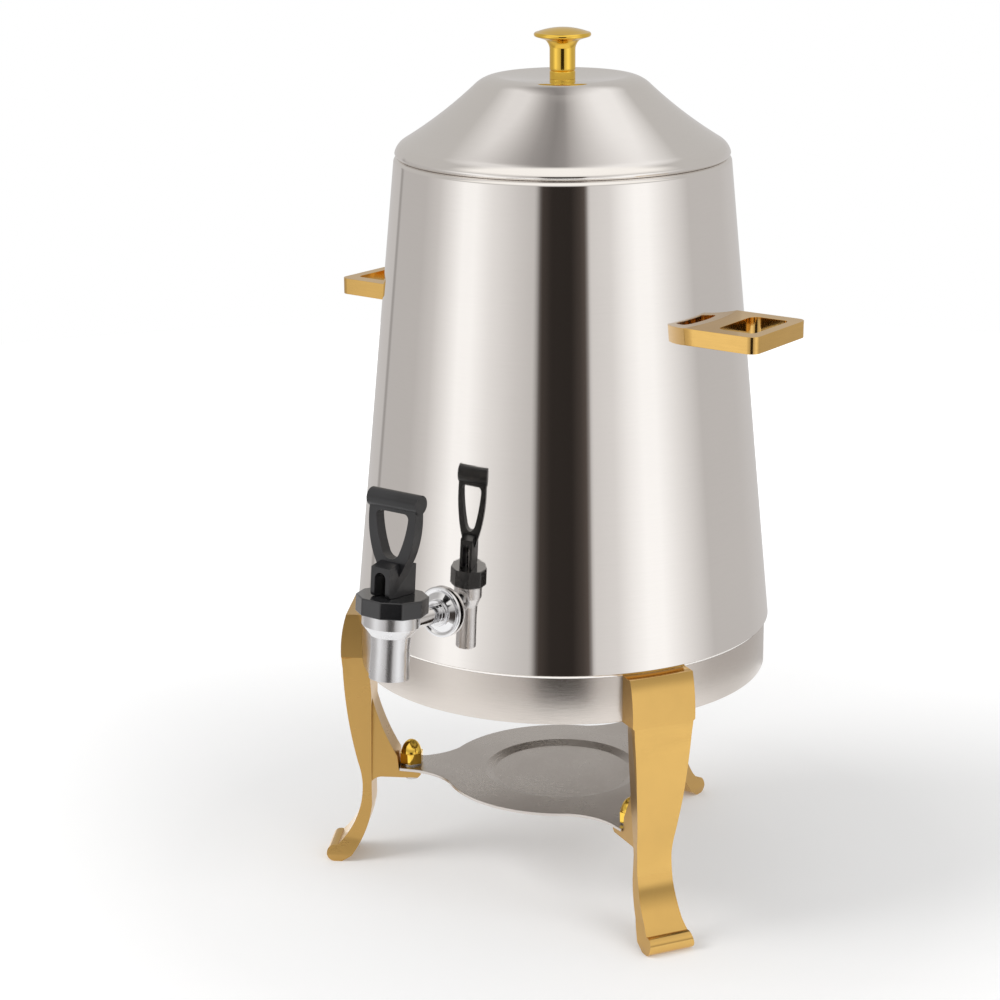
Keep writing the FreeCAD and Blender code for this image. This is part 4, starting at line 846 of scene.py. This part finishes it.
    def panel_ramp(self, tree, value, span, stops):
        """Brightness of the studio panels across a span: warm where dim, neutral where bright."""
        ramp = add_node(tree, "ShaderNodeValToRGB", {0: value})
        band = ramp.color_ramp
        while len(band.elements) > 1:
            band.elements.remove(band.elements[0])
        for i, (place, level) in enumerate(stops):
            position = place / span + 0.5
            element = band.elements[0] if i == 0 else band.elements.new(position)
            element.position = position
            blue = 0.72 if level < 0.2 else 0.90 + 0.09 * level
            green = 0.35 + 0.65 * blue
            element.color = (level, level * green, level * blue, 1)
        return ramp.outputs[0]

    def background(self, tree, color, strength):
        """Background shader of a colour, which is a socket or three numbers."""
        color = (*color, 1) if isinstance(color, tuple) else color
        return add_node(tree, "ShaderNodeBackground", {"Color": color, "Strength": strength}).outputs[0]

    def studio(self, tree):
        """Colour of the studio along a ray of unit length.

        At the horizon it follows the compass angle: dark around the camera, bright strips on
        both sides of it and a warm grey room behind the urn. Above that come the plain room and
        a ceiling that changes from left to right, and a lamp covers both on the camera's side.
        """
        x, y, z = split_vector(tree, add_node(tree, "ShaderNodeTexCoord").outputs["Generated"])

        def along(way):
            return maths(tree, "ADD", maths(tree, "MULTIPLY", x, way[0]), maths(tree, "MULTIPLY", y, way[1]))

        ahead = along(self.AHEAD)
        right = along(self.RIGHT)
        angle = maths(tree, "ARCTAN2", right, ahead)
        turn = maths(tree, "ADD", maths(tree, "DIVIDE", angle, 2 * math.pi), 0.5)
        around = self.panel_ramp(tree, turn, 360.0, self.AROUND)
        across = maths(tree, "ADD", maths(tree, "MULTIPLY", right, 0.5), 0.5)
        overhead = self.panel_ramp(tree, across, 2.0, self.OVERHEAD)
        above = mixed(tree, rising(tree, z, 0.68, 0.84), self.ROOM, overhead)
        lit = maths(tree, "MULTIPLY", rising(tree, ahead, 0.02, 0.30), rising(tree, z, 0.2, 0.5))
        above = mixed(tree, lit, above, self.LAMP)
        return mixed(tree, rising(tree, z, 0.02, 0.14), around, above)

    def world(self, scene):
        """White to the camera, the studio to the metal, and a plain soft light to the rest."""
        world = bpy.data.worlds.new("studio")
        scene.world = world
        world.use_nodes = True
        tree = world.node_tree
        tree.nodes.clear()
        rays = add_node(tree, "ShaderNodeLightPath").outputs
        panels = self.background(tree, self.studio(tree), self.PANEL_LIGHT)
        plain = self.background(tree, (1, 1, 1), self.PLAIN_LIGHT)
        white = self.background(tree, (1, 1, 1), self.BACKDROP)
        lit = mixed_shaders(tree, rays["Is Glossy Ray"], plain, panels)
        seen = maths(tree, "MAXIMUM", rays["Is Camera Ray"], rays["Is Transmission Ray"])
        add_node(tree, "ShaderNodeOutputWorld", {0: mixed_shaders(tree, seen, lit, white)})


class URN_PT_panel(bpy.types.Panel):
    """Lists the urn's operators and settings"""
    bl_idname = "URN_PT_panel"
    bl_label = "Coffee urn"
    bl_space_type = "VIEW_3D"
    bl_region_type = "UI"
    bl_category = "Urn"

    def draw(self, context):
        for operator in OPERATORS:
            self.layout.operator(operator.bl_idname)
        for group in (context.scene.urn_looks, context.scene.urn_stage):
            for field in group.bl_rna.properties:
                if field.identifier not in ("rna_type", "name"):
                    self.layout.prop(group, field.identifier)


OPERATORS = (
    URN_OT_materials, URN_OT_vessel, URN_OT_lid, URN_OT_handles, URN_OT_legs, URN_OT_tray, URN_OT_tap,
    URN_OT_small_parts, URN_OT_stage,
)
CLASSES = (UrnLooks, UrnStage) + OPERATORS + (URN_PT_panel,)


def register():
    for cls in CLASSES:
        bpy.utils.register_class(cls)
    bpy.types.Scene.urn_looks = bpy.props.PointerProperty(type=UrnLooks)
    bpy.types.Scene.urn_stage = bpy.props.PointerProperty(type=UrnStage)


def unregister():
    del bpy.types.Scene.urn_stage
    del bpy.types.Scene.urn_looks
    for cls in reversed(CLASSES):
        bpy.utils.unregister_class(cls)


def main():
    """Registers the add-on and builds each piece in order."""
    register()
    for operator in OPERATORS:
        getattr(bpy.ops.urn, operator.bl_idname.removeprefix("urn."))()


if __name__ == "__main__":
    main()
